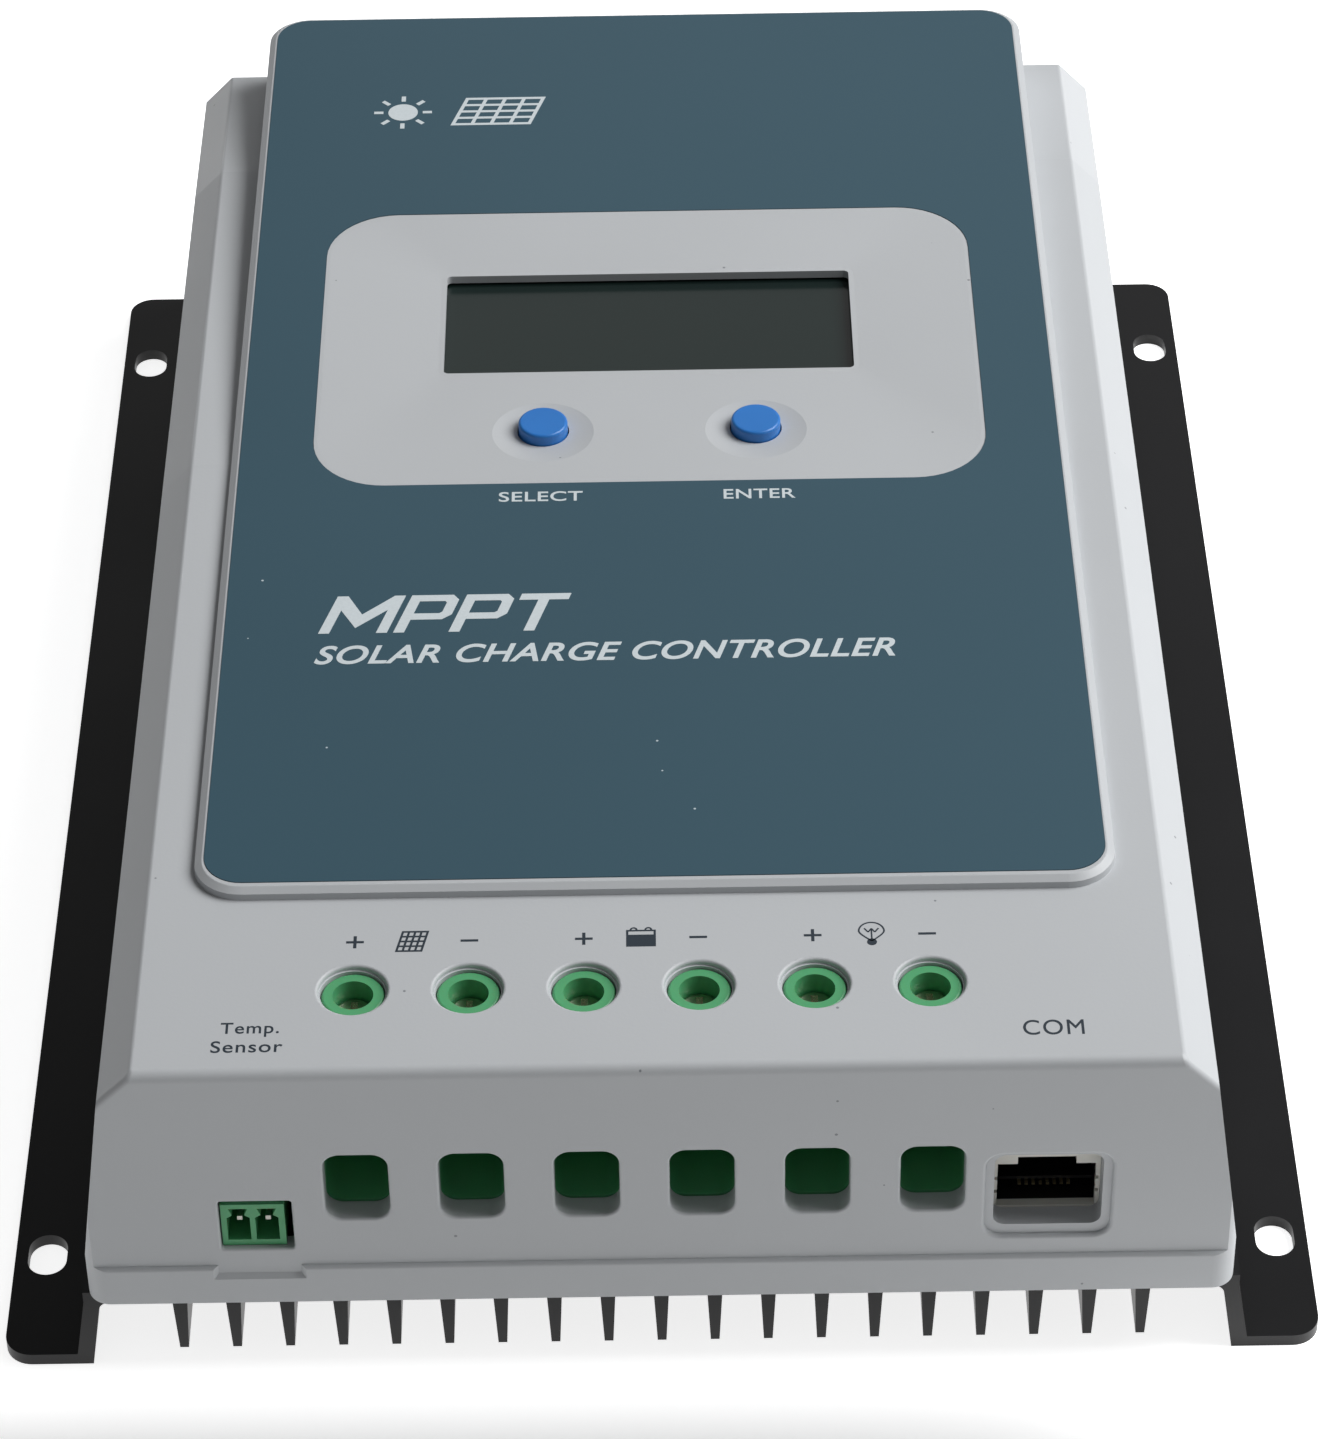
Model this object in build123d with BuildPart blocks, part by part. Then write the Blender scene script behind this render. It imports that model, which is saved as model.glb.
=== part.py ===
# Wall-mounted solar charge controller: a finned heatsink with a moulded cover, a display with
# two buttons, six rising-clamp cable terminals, a data socket and a sensor socket.
# Frame: X to the right, Y up the wall (away from the terminals), Z out of the wall.
# The origin is the middle of the wall face. Millimetres.
import os
from math import atan, cos, degrees, radians, sin, tan

from build123d import *

os.makedirs("parts", exist_ok=True)


def save(builder, name):
    """Label a finished sub-part and write its STEP file."""
    builder.part.label = name
    export_step(builder.part, "parts/" + name + ".step")


# ---------------------------------------------------------------- driving dimensions
# heatsink extrusion
sink_length = 247.6
flange_half = 90.0
flange_thick = 1.9
base_under_z = 12.0
base_top_z = 15.8
ledge_z = 14.0
ledge_half = 78.2
base_top_half = 74.4
leg_foot_in = 77.8
leg_foot_out = 79.85
leg_head_in = 76.0
leg_head_out = 78.2
leg_fillet = 1.5
fin_count = 19
fin_pitch = 7.24
fin_tip_z = 3.0
fin_tip_width = 1.2
fin_root_width = 2.05
flange_corner = 3.8
mount_span_x = 171.0
mount_span_y = 210.0
mount_slot_width = 5.4
mount_slot_length = 7.6

# cover shell
cover_length = 252.0
cover_half = 77.3
cover_corner = 3.2
rim_z = 14.0
crease_z = 20.6
front_face_y = -125.4
skirt_round = 0.55
shoulder_round = 0.8
deck_front_round = 1.4
deck_z = 56.0
panel_z = 57.6
ramp_start_y = 5.0
ramp_break_y = 88.0
ramp_break_z = 52.4
ramp_end_z = 45.9
shoulder_drop = 4.9
shoulder_width = 4.7
wall_top_half = 73.1
wall_thick = 2.4
cover_back_y = cover_length / 2
rim_front_y = -cover_length / 2
wall_draft = (cover_half - wall_top_half) / (deck_z - shoulder_drop - crease_z)

# raised panel, label and display window
panel_half = 62.3
panel_near_y = -91.7
panel_far_y = 126.0
panel_corner = 6.6
panel_draft = 7.0
panel_bevel_drop = 0.6
panel_bevel_width = 1.0
panel_edge_round = 0.3
panel_root_z = 40.0
panel_ceiling_z = 55.4
label_half = 61.0
label_near_y = -90.0
label_far_y = 124.7
label_corner = 5.4
label_pocket = 0.2
label_thick = 0.3
window_size = (100.4, 70.2)
window_y = 32.2
window_corner = 11.0
window_floor_z = 56.7
display_size = (62.6, 25.5)
display_y = 38.8
rim_round = 0.8

# terminals
terminal_names = (
    "pv_plus", "pv_minus", "battery_plus", "battery_minus", "load_plus", "load_minus")
terminal_pitch = 15.24
terminal_middle_x = -1.93
well_y = -109.6
well_r = 4.35
well_step_r = 4.6
well_step_depth = 0.75
well_round = 0.45
cable_size = (8.6, 11.9)
cable_z = 34.95
cable_corner = 2.3
opening_round = 0.35
terminal_half = 7.45
terminal_front_y = -121.8
terminal_back_y = -99.0
terminal_top_z = 50.5
collar_r = 4.2
collar_top_z = 55.0
driver_bore_r = 2.7
screw_head_r = 2.6
screw_seat_z = 49.85
screw_head_z = 52.1
thread_r = 1.95
bar_under_z = 39.4
bar_top_z = 40.8
bar_half = 3.2
bar_near_y = -113.8
bar_far_y = -102.2
bar_leg_y = -102.9
bar_leg_thick = 1.4
bar_leg_step = 2.4
cage_half = 4.7
cage_inner_half = 3.5
cage_near_y = -114.0
cage_far_y = -105.2
cage_bottom_z = 32.0
cage_floor = 1.2
cage_lid_z = 41.2
cage_top_z = 43.6
cage_room = 0.3
cage_room_top_z = 49.4

# boards
board_under_z = 22.0
board_thick = 1.6
pin_reach = 1.2
board_top_z = board_under_z + board_thick
board_half = 65.0
board_near_y = -121.2
board_far_y = 118.0
display_board_z = 44.6
display_board_top_z = display_board_z + board_thick
display_board_size = (92.0, 68.0)
display_board_y = 29.0

# buttons
button_x = 15.95
button_y = 11.3
button_r = 3.7
button_top_z = 58.4
button_gap = 0.2
button_foot_z = 53.9
button_foot_r = 5.2
button_foot_thick = 1.3
stem_r = 1.75
dish_r = 35.6
dish_floor_z = 56.35
switch_top_z = display_board_top_z + 3.5
stem_top_z = switch_top_z + 1.0

# sockets on the front face
com_x = 51.55
com_step_size = (16.8, 15.4)
com_step_z = 31.5
com_recess_size = (14.4, 13.0)
com_recess_z = 32.0
com_floor_y = -121.6
com_bezel_thick = 1.2
com_wire_pitch = 0.94
com_wire_half = 0.225
com_wire_z = 26.85
com_wire_tip_y = -118.6
com_back_y = -108.0
com_mouth_size = (13.1, 7.8)
com_mouth_low_z = 25.9
com_notch_size = (7.8, 1.3)
temp_mouth = (-58.6, -48.8, 23.6, 32.6)
temp_half = 4.25
temp_x = -54.15
temp_pitch = 3.81
temp_top_z = 31.3
temp_front_y = -124.6
temp_back_y = -115.0
temp_pin_z = 27.4
temp_pin_size = 0.7
temp_pin_y = -115.9
temp_notch_width = 11.0
temp_notch_z = 19.2
temp_pin_xs = (temp_x - temp_pitch / 2, temp_x + temp_pitch / 2)

# fasteners
boss_r = 3.3
boss_x = 71.3
boss_rows = (-112.0, 0.0, 112.0)
boss_top_z = 30.0
screw_r = 1.45
pilot_r = 1.5
display_boss_x = 42.0
display_boss_rows = (0.0, 58.0)
standoff_spots = [(x, y) for x in (-60.0, 60.0) for y in (-92.0, 10.0, 112.0)]
cover_screw_spots = [(x, y) for x in (-boss_x, boss_x) for y in boss_rows]
display_screw_spots = [(x, y) for x in (-display_boss_x, display_boss_x) for y in display_boss_rows]
clamp_spots = [(x, -65.0) for x in (-32.0, 0.0, 32.0)]
terminal_xs = [terminal_middle_x + (i - 2.5) * terminal_pitch for i in range(6)]
bar_pin_spots = [(x + s * bar_leg_step, bar_leg_y) for x in terminal_xs for s in (-1, 1)]


def front_plane(y):
    """A sketch plane facing the viewer of the terminal end: local x is X and local y is Z."""
    return Plane.XZ.offset(-y)


# ---------------------------------------------------------------- heatsink
with BuildPart() as heatsink:
    with BuildSketch(front_plane(sink_length / 2)) as sink_section:
        with BuildLine():
            Polyline(
                (0, base_under_z), (leg_head_in, base_under_z), (leg_foot_in, 0),
                (flange_half, 0), (flange_half, flange_thick), (leg_foot_out, flange_thick),
                (leg_head_out, base_under_z), (ledge_half, ledge_z), (base_top_half, ledge_z),
                (base_top_half, base_top_z), (0, base_top_z), close=True)
        make_face()
        leg_corner = sink_section.vertices().sort_by_distance((leg_head_in, base_under_z))[0]
        fillet(leg_corner, leg_fillet)
        mirror(about=Plane.YZ)
        with GridLocations(fin_pitch, 0, fin_count, 1):
            Polygon(
                (-fin_tip_width / 2, fin_tip_z), (fin_tip_width / 2, fin_tip_z),
                (fin_root_width / 2, base_under_z + 0.2), (-fin_root_width / 2, base_under_z + 0.2),
                align=None)
    extrude(amount=sink_length)
    flange_ends = heatsink.edges().filter_by(Axis.Z).group_by(Axis.X)
    fillet(flange_ends[0] + flange_ends[-1], flange_corner)
    with BuildSketch(Plane.XY):
        with GridLocations(mount_span_x, mount_span_y, 2, 2):
            SlotOverall(mount_slot_length, mount_slot_width, rotation=90)
    extrude(amount=flange_thick + 1, mode=Mode.SUBTRACT)
    with BuildSketch(Plane.XY.offset(base_under_z - 1)):
        with Locations(*cover_screw_spots):
            Circle(screw_r + 0.3)
    extrude(amount=8, mode=Mode.SUBTRACT)
    with BuildSketch(Plane.XY.offset(base_under_z + 0.6)):
        with Locations(*standoff_spots, *clamp_spots):
            Circle(pilot_r)
    extrude(amount=8, mode=Mode.SUBTRACT)
save(heatsink, "heatsink")


# ---------------------------------------------------------------- cover
def wall_half(z):
    """Half width of the outer side wall at a height above the crease."""
    return cover_half - (z - crease_z) * wall_draft


def cover_section(top_z, inset, low_z):
    """Cross-section outline of the shell with its deck at top_z, moved inwards by inset."""
    mitre = inset * tan(radians(22.5))
    knee_z = top_z - shoulder_drop - mitre
    right = [
        (cover_half - inset, low_z),
        (cover_half - inset, crease_z),
        (wall_half(knee_z) - inset, knee_z),
        (wall_half(top_z - shoulder_drop) - shoulder_width - mitre, top_z - inset),
    ]
    return right + [(-x, z) for x, z in reversed(right)]


def front_rim_edges(shell, low_x, high_x):
    """Edges of openings that lie in the front face, with centres between two X values."""
    return shell.edges().filter_by_position(
        Axis.Y, front_face_y - 0.01, front_face_y + 0.01).filter_by(
        lambda edge: low_x - 9 < edge.center().X < high_x + 9
        and crease_z + 1 < edge.center().Z < deck_z - 8)


deck_stations = ((ramp_start_y, deck_z), (ramp_break_y, ramp_break_z))
cavity_near_y = -123.0
cavity_far_y = 123.6
end_slope = (ramp_break_z - ramp_end_z) / (cover_back_y - ramp_break_y)
cavity_end_z = ramp_break_z - (cavity_far_y - ramp_break_y) * end_slope

with BuildPart() as cover:
    # drafted body with a flat deck that ramps down towards the far end
    for station_y, station_z in ((front_face_y, deck_z), *deck_stations, (cover_back_y, ramp_end_z)):
        with BuildSketch(front_plane(station_y)):
            with BuildLine():
                Polyline(*cover_section(station_z, 0, rim_z), close=True)
            make_face()
    loft(ruled=True)
    # skirt that stands a little proud of the front face
    with BuildSketch(Plane.XY.offset(rim_z)):
        Rectangle(2 * cover_half, cover_length)
    extrude(amount=crease_z - rim_z)
    skirt_edge = cover.edges().filter_by(Axis.X).filter_by_position(
        Axis.Y, rim_front_y - 0.1, rim_front_y + 0.1).sort_by(Axis.Z)[-1]
    fillet(skirt_edge, skirt_round)
    # raised panel
    bevel_z = panel_z - panel_bevel_drop
    grow = (bevel_z - panel_root_z) * tan(radians(panel_draft))
    with BuildSketch(Plane.XY.offset(panel_root_z)):
        with Locations((0, (panel_near_y + panel_far_y) / 2)):
            RectangleRounded(
                2 * (panel_half + grow), panel_far_y - panel_near_y + 2 * grow, panel_corner + grow)
    extrude(amount=bevel_z - panel_root_z, taper=panel_draft)
    with BuildSketch(Plane.XY.offset(bevel_z)):
        with Locations((0, (panel_near_y + panel_far_y) / 2)):
            RectangleRounded(2 * panel_half, panel_far_y - panel_near_y, panel_corner)
    extrude(amount=panel_bevel_drop, taper=degrees(atan(panel_bevel_width / panel_bevel_drop)))
    # rounded plan corners
    with BuildSketch(Plane.XY):
        RectangleRounded(2 * cover_half, cover_length, cover_corner)
    extrude(amount=panel_z + 10, mode=Mode.INTERSECT)
    # soft edges
    fillet(cover.edges().group_by(Axis.Z)[-1], panel_edge_round)
    deck_front = cover.edges().filter_by(Axis.X).filter_by_position(
        Axis.Z, deck_z - 0.05, deck_z + 0.05).sort_by(Axis.Y)[0]
    fillet(deck_front, deck_front_round)
    shoulder_edges = cover.edges().filter_by(
        lambda edge: edge.length > 30 and 66 < abs(edge.center().X) < 70 and edge.center().Z > 40)
    fillet(shoulder_edges, shoulder_round)
    # hollow inside
    cavity_stations = ((cavity_near_y, deck_z), *deck_stations, (cavity_far_y, cavity_end_z))
    for station_y, station_z in cavity_stations:
        with BuildSketch(front_plane(station_y)):
            with BuildLine():
                Polyline(*cover_section(station_z, wall_thick, rim_z - 1), close=True)
            make_face()
    loft(ruled=True, mode=Mode.SUBTRACT)
    with BuildSketch(Plane.XY.offset(rim_z - 1)):
        Rectangle(2 * base_top_half + 0.4, sink_length + 0.5)
    extrude(amount=base_top_z + 0.4 - rim_z + 1, mode=Mode.SUBTRACT)
    with BuildSketch(Plane.XY.offset(panel_root_z)):
        with Locations((0, (panel_near_y + wall_thick + cavity_far_y) / 2)):
            RectangleRounded(
                2 * (panel_half - wall_thick), cavity_far_y - panel_near_y - wall_thick, 6)
    extrude(amount=panel_ceiling_z - panel_root_z, mode=Mode.SUBTRACT)
    # thick band behind the cable entries and the sockets
    with BuildSketch(front_plane(cavity_near_y - 0.2)):
        with Locations((terminal_middle_x, cable_z)):
            Rectangle(6 * terminal_pitch, 18)
    extrude(amount=-1.2)
    with BuildSketch(front_plane(cavity_near_y - 0.2)):
        with Locations((com_x + 0.45, com_step_z + 0.4)):
            Rectangle(com_recess_size[0] + 2.1, com_step_size[1] + 0.6)
    extrude(amount=-(com_floor_y + 1.0 - cavity_near_y + 0.2))
    # screw bosses, tied to the side walls
    with BuildSketch(Plane.XY.offset(base_top_z)):
        with Locations(*cover_screw_spots):
            Circle(boss_r)
    extrude(amount=boss_top_z - base_top_z)
    with BuildSketch(Plane.XY.offset(base_top_z + 0.6)):
        with Locations(*[(x * 1.04, y) for x, y in cover_screw_spots]):
            Rectangle(3.4, 2.0)
    extrude(amount=boss_top_z - base_top_z - 0.6)
    with BuildSketch(Plane.XY.offset(base_top_z)):
        with Locations(*cover_screw_spots):
            Circle(pilot_r)
    extrude(amount=11, mode=Mode.SUBTRACT)
    with BuildSketch(Plane.XY.offset(display_board_top_z)):
        with Locations(*display_screw_spots):
            Circle(3.0)
    extrude(amount=panel_ceiling_z - display_board_top_z + 0.2)
    with BuildSketch(Plane.XY.offset(display_board_top_z)):
        with Locations(*display_screw_spots):
            Circle(1.1)
    extrude(amount=7, mode=Mode.SUBTRACT)
    # label pocket round the display window
    with BuildSketch(Plane.XY.offset(panel_z)):
        with Locations((0, (label_near_y + label_far_y) / 2)):
            RectangleRounded(
                2 * label_half + 0.1, label_far_y - label_near_y + 0.1, label_corner)
        with Locations((0, window_y)):
            RectangleRounded(*window_size, window_corner, mode=Mode.SUBTRACT)
    extrude(amount=-label_pocket, mode=Mode.SUBTRACT)
    # display window: four faces falling to the rim of the display opening
    with BuildSketch(Plane.XY.offset(panel_z)):
        with Locations((0, window_y)):
            RectangleRounded(window_size[0] - 1.2, window_size[1] - 1.2, window_corner - 0.6)
    with BuildSketch(Plane.XY.offset(window_floor_z)):
        with Locations((0, display_y)):
            RectangleRounded(display_size[0] + 1.6, display_size[1] + 1.6, 1.6)
    loft(ruled=True, mode=Mode.SUBTRACT)
    with BuildSketch(Plane.XY.offset(panel_ceiling_z - 1)):
        with Locations((0, display_y)):
            RectangleRounded(*display_size, rim_round)
    extrude(amount=4, mode=Mode.SUBTRACT)
    # button dishes and button holes
    with Locations(
            (-button_x, button_y, dish_floor_z + dish_r), (button_x, button_y, dish_floor_z + dish_r)):
        Sphere(dish_r, mode=Mode.SUBTRACT)
    with BuildSketch(Plane.XY.offset(panel_ceiling_z - 1)):
        with Locations((-button_x, button_y), (button_x, button_y)):
            Circle(button_r + button_gap)
    extrude(amount=4, mode=Mode.SUBTRACT)
    # screwdriver wells in the deck
    with BuildSketch(Plane.XY.offset(deck_z - wall_thick - 0.5)):
        with Locations(*[(x, well_y) for x in terminal_xs]):
            Circle(well_r)
    extrude(amount=4, mode=Mode.SUBTRACT)
    with BuildSketch(Plane.XY.offset(deck_z - well_step_depth)):
        with Locations(*[(x, well_y) for x in terminal_xs]):
            Circle(well_step_r)
    extrude(amount=2, mode=Mode.SUBTRACT)
    well_edges = cover.edges().filter_by(GeomType.CIRCLE).filter_by(
        lambda edge: abs(edge.radius - well_step_r) < 0.01 and edge.center().Z > deck_z - 0.05)
    fillet(well_edges, well_round)
    # cable entries
    with BuildSketch(front_plane(rim_front_y - 1)):
        with Locations(*[(x, cable_z) for x in terminal_xs]):
            RectangleRounded(*cable_size, cable_corner)
    extrude(amount=-6, mode=Mode.SUBTRACT)
    fillet(front_rim_edges(cover, terminal_xs[0], terminal_xs[-1]), opening_round)
    # data socket: a soft shallow step round the recess that frames the bezel
    with BuildSketch(front_plane(front_face_y - 1)):
        with Locations((com_x, com_step_z)):
            RectangleRounded(*com_step_size, 2.4)
    extrude(amount=-1.7, mode=Mode.SUBTRACT)
    fillet(front_rim_edges(cover, com_x, com_x), 0.5)
    with BuildSketch(front_plane(front_face_y - 1)):
        with Locations((com_x, com_recess_z)):
            RectangleRounded(*com_recess_size, 1.6)
    extrude(amount=-8, mode=Mode.SUBTRACT)
    # sensor socket opening and the lowered crease below it
    with BuildSketch(front_plane(rim_front_y - 1)):
        temp_left, temp_right, temp_low, temp_high = temp_mouth
        with Locations(((temp_left + temp_right) / 2, (temp_low + temp_high) / 2)):
            RectangleRounded(temp_right - temp_left, temp_high - temp_low, 0.5)
    extrude(amount=-6, mode=Mode.SUBTRACT)
    fillet(front_rim_edges(cover, temp_x, temp_x), opening_round)
    with BuildSketch(front_plane(front_face_y)):
        with Locations(((temp_left + temp_right) / 2, (temp_notch_z + crease_z) / 2 + 1)):
            Rectangle(temp_notch_width, crease_z - temp_notch_z + 2)
    extrude(amount=1, taper=-50, mode=Mode.SUBTRACT)
save(cover, "cover")


# ---------------------------------------------------------------- label and display
with BuildPart() as front_label:
    with BuildSketch(Plane.XY.offset(panel_z - label_pocket)):
        with Locations((0, (label_near_y + label_far_y) / 2)):
            RectangleRounded(2 * label_half, label_far_y - label_near_y, label_corner)
        with Locations((0, window_y)):
            RectangleRounded(
                window_size[0] + 0.1, window_size[1] + 0.1, window_corner, mode=Mode.SUBTRACT)
    extrude(amount=label_thick)
save(front_label, "front_label")

glass_top_z = 55.0
glass_thick = 2.8
with BuildPart() as lcd_glass:
    with BuildSketch(Plane.XY.offset(glass_top_z - glass_thick)):
        with Locations((0, display_y)):
            RectangleRounded(display_size[0] + 5, display_size[1] + 5, 0.5)
    extrude(amount=glass_thick)
save(lcd_glass, "lcd_glass")

with BuildPart() as lcd_backlight:
    with BuildSketch(Plane.XY.offset(display_board_top_z)):
        with Locations((0, display_y)):
            RectangleRounded(display_size[0] + 8, display_size[1] + 8, 1)
    extrude(amount=glass_top_z - glass_thick - display_board_top_z)
save(lcd_backlight, "lcd_backlight")

with BuildPart() as display_board:
    with BuildSketch(Plane.XY.offset(display_board_z)):
        with Locations((0, display_board_y)):
            RectangleRounded(*display_board_size, 2)
        with Locations(*display_screw_spots):
            Circle(1.3, mode=Mode.SUBTRACT)
    extrude(amount=board_thick)
save(display_board, "display_board")


# ---------------------------------------------------------------- buttons and switches
def make_button(name, x):
    """Round cap, retaining flange under the cover and a stem that meets the switch."""
    with BuildPart() as button:
        with BuildSketch(Plane.XY.offset(button_foot_z)):
            with Locations((x, button_y)):
                Circle(button_r)
        extrude(amount=button_top_z - button_foot_z)
        fillet(button.edges().group_by(Axis.Z)[-1], 0.45)
        with BuildSketch(Plane.XY.offset(button_foot_z)):
            with Locations((x, button_y)):
                Circle(button_foot_r)
        extrude(amount=button_foot_thick)
        with BuildSketch(Plane.XY.offset(stem_top_z)):
            with Locations((x, button_y)):
                Circle(stem_r + 0.25)
        extrude(amount=button_foot_z - stem_top_z)
    save(button, name + "_button")


def make_switch(name, x):
    """Tactile switch body with a round well for its stem."""
    with BuildPart() as switch:
        with BuildSketch(Plane.XY.offset(display_board_top_z)):
            with Locations((x, button_y)):
                RectangleRounded(6.0, 6.0, 0.3)
        extrude(amount=switch_top_z - display_board_top_z)
        with BuildSketch(Plane.XY.offset(switch_top_z - 1.8)):
            with Locations((x, button_y)):
                Circle(stem_r + 0.1)
        extrude(amount=3, mode=Mode.SUBTRACT)
    save(switch, name + "_switch")


def make_switch_stem(name, x):
    """Switch stem that travels with the button."""
    with BuildPart() as stem:
        with BuildSketch(Plane.XY.offset(switch_top_z - 1.0)):
            with Locations((x, button_y)):
                Circle(stem_r)
        extrude(amount=stem_top_z - switch_top_z + 1.0)
    save(stem, name + "_switch_stem")


for key_name, key_x in (("select", -button_x), ("enter", button_x)):
    make_button(key_name, key_x)
    make_switch(key_name, key_x)
    make_switch_stem(key_name, key_x)


# ---------------------------------------------------------------- main board and its link
ribbon_y = 2.0
with BuildPart() as main_board:
    with BuildSketch(Plane.XY.offset(board_under_z)):
        with Locations((0, (board_near_y + board_far_y) / 2)):
            RectangleRounded(2 * board_half, board_far_y - board_near_y, 2)
        with Locations(*standoff_spots):
            Circle(1.7, mode=Mode.SUBTRACT)
        with Locations(*clamp_spots):
            Circle(3.6, mode=Mode.SUBTRACT)
        with Locations(*bar_pin_spots):
            Rectangle(1.6, 1.8, mode=Mode.SUBTRACT)
        with Locations(*[(x, temp_pin_y) for x in temp_pin_xs]):
            Circle(0.8, mode=Mode.SUBTRACT)
    extrude(amount=board_thick)
save(main_board, "main_board")

with BuildPart() as display_header:
    with BuildSketch(Plane.XY.offset(display_board_z - 4.6)):
        with Locations((0, ribbon_y)):
            RectangleRounded(16, 5, 0.4)
    extrude(amount=4.6)
save(display_header, "display_header")

with BuildPart() as main_header:
    with BuildSketch(Plane.XY.offset(board_top_z)):
        with Locations((0, ribbon_y + 6)):
            RectangleRounded(16, 5, 0.4)
    extrude(amount=5.4)
save(main_header, "main_header")

with BuildPart() as ribbon_cable:
    ribbon_low_z = board_top_z + 5.4 + 0.45
    ribbon_high_z = display_board_z - 4.6 - 0.45
    ribbon_mid_z = (ribbon_low_z + ribbon_high_z) / 2
    with BuildSketch(Plane.YZ.offset(-7)):
        with BuildLine():
            FilletPolyline(
                (ribbon_y + 6, ribbon_low_z), (ribbon_y + 6, ribbon_mid_z - 1),
                (ribbon_y, ribbon_mid_z + 1), (ribbon_y, ribbon_high_z), radius=1.6)
            offset(amount=0.4, side=Side.BOTH)
        make_face()
    extrude(amount=14)
save(ribbon_cable, "ribbon_cable")


# ---------------------------------------------------------------- terminals
def make_terminal(name, x):
    """Insulating body: cable mouth, clamp chamber, driver collar and a slot for the bar."""
    with BuildPart() as body:
        with BuildSketch(Plane.XY.offset(board_top_z)):
            with Locations((x, (terminal_front_y + terminal_back_y) / 2)):
                RectangleRounded(2 * terminal_half, terminal_back_y - terminal_front_y, 0.6)
        extrude(amount=terminal_top_z - board_top_z)
        with BuildSketch(Plane.XY.offset(terminal_top_z)):
            with Locations((x, well_y)):
                Circle(collar_r)
        extrude(amount=collar_top_z - terminal_top_z)
        fillet(body.edges().group_by(Axis.Z)[-1], 0.4)
        with BuildSketch(front_plane(terminal_front_y)):
            with Locations((x, cable_z)):
                RectangleRounded(cable_size[0] + 0.2, cable_size[1] - 0.6, cable_corner)
        extrude(amount=-(cage_near_y - cage_room - terminal_front_y + 0.5), mode=Mode.SUBTRACT)
        chamber_y = (cage_near_y + cage_far_y) / 2
        with BuildSketch(Plane.XY.offset(cage_bottom_z - cage_room)):
            with Locations((x, chamber_y)):
                Rectangle(2 * (cage_half + cage_room), cage_far_y - cage_near_y + 2 * cage_room)
        extrude(amount=cage_room_top_z - cage_bottom_z + cage_room, mode=Mode.SUBTRACT)
        with BuildSketch(Plane.XY.offset(screw_seat_z - 0.05)):
            with Locations((x, well_y)):
                Circle(driver_bore_r)
        extrude(amount=8, mode=Mode.SUBTRACT)
        with BuildSketch(Plane.XY.offset(cage_room_top_z - 0.1)):
            with Locations((x, well_y)):
                Circle(thread_r + 0.2)
        extrude(amount=1, mode=Mode.SUBTRACT)
        with BuildSketch(Plane.XY.offset(board_top_z - 1)):
            with Locations((x, bar_leg_y - 0.6)):
                Rectangle(2 * bar_half + 0.3, 3.2)
        extrude(amount=bar_top_z + 0.15 - board_top_z + 1, mode=Mode.SUBTRACT)
    save(body, name + "_terminal")


def make_terminal_screw(name, x):
    """Captive clamp screw with a combined slot and cross recess."""
    with BuildPart() as screw:
        with BuildSketch(Plane.XY.offset(bar_top_z + 0.1)):
            with Locations((x, well_y)):
                Circle(thread_r)
        extrude(amount=screw_seat_z - bar_top_z - 0.1)
        with BuildSketch(Plane.XY.offset(screw_seat_z)):
            with Locations((x, well_y)):
                Circle(screw_head_r)
        extrude(amount=screw_head_z - screw_seat_z)
        fillet(screw.edges().group_by(Axis.Z)[-1], 0.5)
        with BuildSketch(Plane.XY.offset(screw_head_z - 1.2)):
            with Locations((x, well_y)):
                Rectangle(2 * screw_head_r + 1, 0.9)
                Rectangle(0.9, 3.4)
        extrude(amount=2, mode=Mode.SUBTRACT)
    save(screw, name + "_screw")


def make_cage(name, x):
    """Clamp cage: a rectangular loop whose threaded lid climbs the screw."""
    with BuildPart() as cage:
        with BuildSketch(front_plane(cage_near_y)):
            with Locations((x, (cage_bottom_z + cage_top_z) / 2)):
                RectangleRounded(2 * cage_half, cage_top_z - cage_bottom_z, 0.8)
            with Locations((x, (cage_bottom_z + cage_floor + cage_lid_z) / 2)):
                RectangleRounded(
                    2 * cage_inner_half, cage_lid_z - cage_bottom_z - cage_floor, 0.3,
                    mode=Mode.SUBTRACT)
        extrude(amount=-(cage_far_y - cage_near_y))
        with BuildSketch(Plane.XY.offset(cage_lid_z - 1)):
            with Locations((x, well_y)):
                Circle(thread_r + 0.08)
        extrude(amount=5, mode=Mode.SUBTRACT)
        with BuildSketch(front_plane(cage_near_y)):
            with Locations((x, cage_bottom_z + cage_floor)):
                Rectangle(4.0, 0.6)
        extrude(amount=-(cage_far_y - cage_near_y), mode=Mode.SUBTRACT)
    save(cage, name + "_cage")


for terminal_name, terminal_x in zip(terminal_names, terminal_xs):
    make_terminal(terminal_name, terminal_x)
    make_terminal_screw(terminal_name, terminal_x)
    make_cage(terminal_name, terminal_x)

with BuildPart() as contact_bars:
    with BuildSketch(Plane.XY.offset(bar_under_z)):
        with Locations(*[(x, (bar_near_y + bar_far_y) / 2) for x in terminal_xs]):
            Rectangle(2 * bar_half, bar_far_y - bar_near_y)
    extrude(amount=bar_top_z - bar_under_z)
    with BuildSketch(Plane.XY.offset(board_top_z + 0.1)):
        with Locations(*[(x, bar_leg_y) for x in terminal_xs]):
            Rectangle(2 * bar_half, bar_leg_thick)
    extrude(amount=bar_under_z - board_top_z)
    with BuildSketch(Plane.XY.offset(board_under_z - pin_reach)):
        with Locations(*bar_pin_spots):
            Rectangle(1.2, bar_leg_thick)
    extrude(amount=board_thick + pin_reach + 0.2)
save(contact_bars, "contact_bars")


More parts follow.
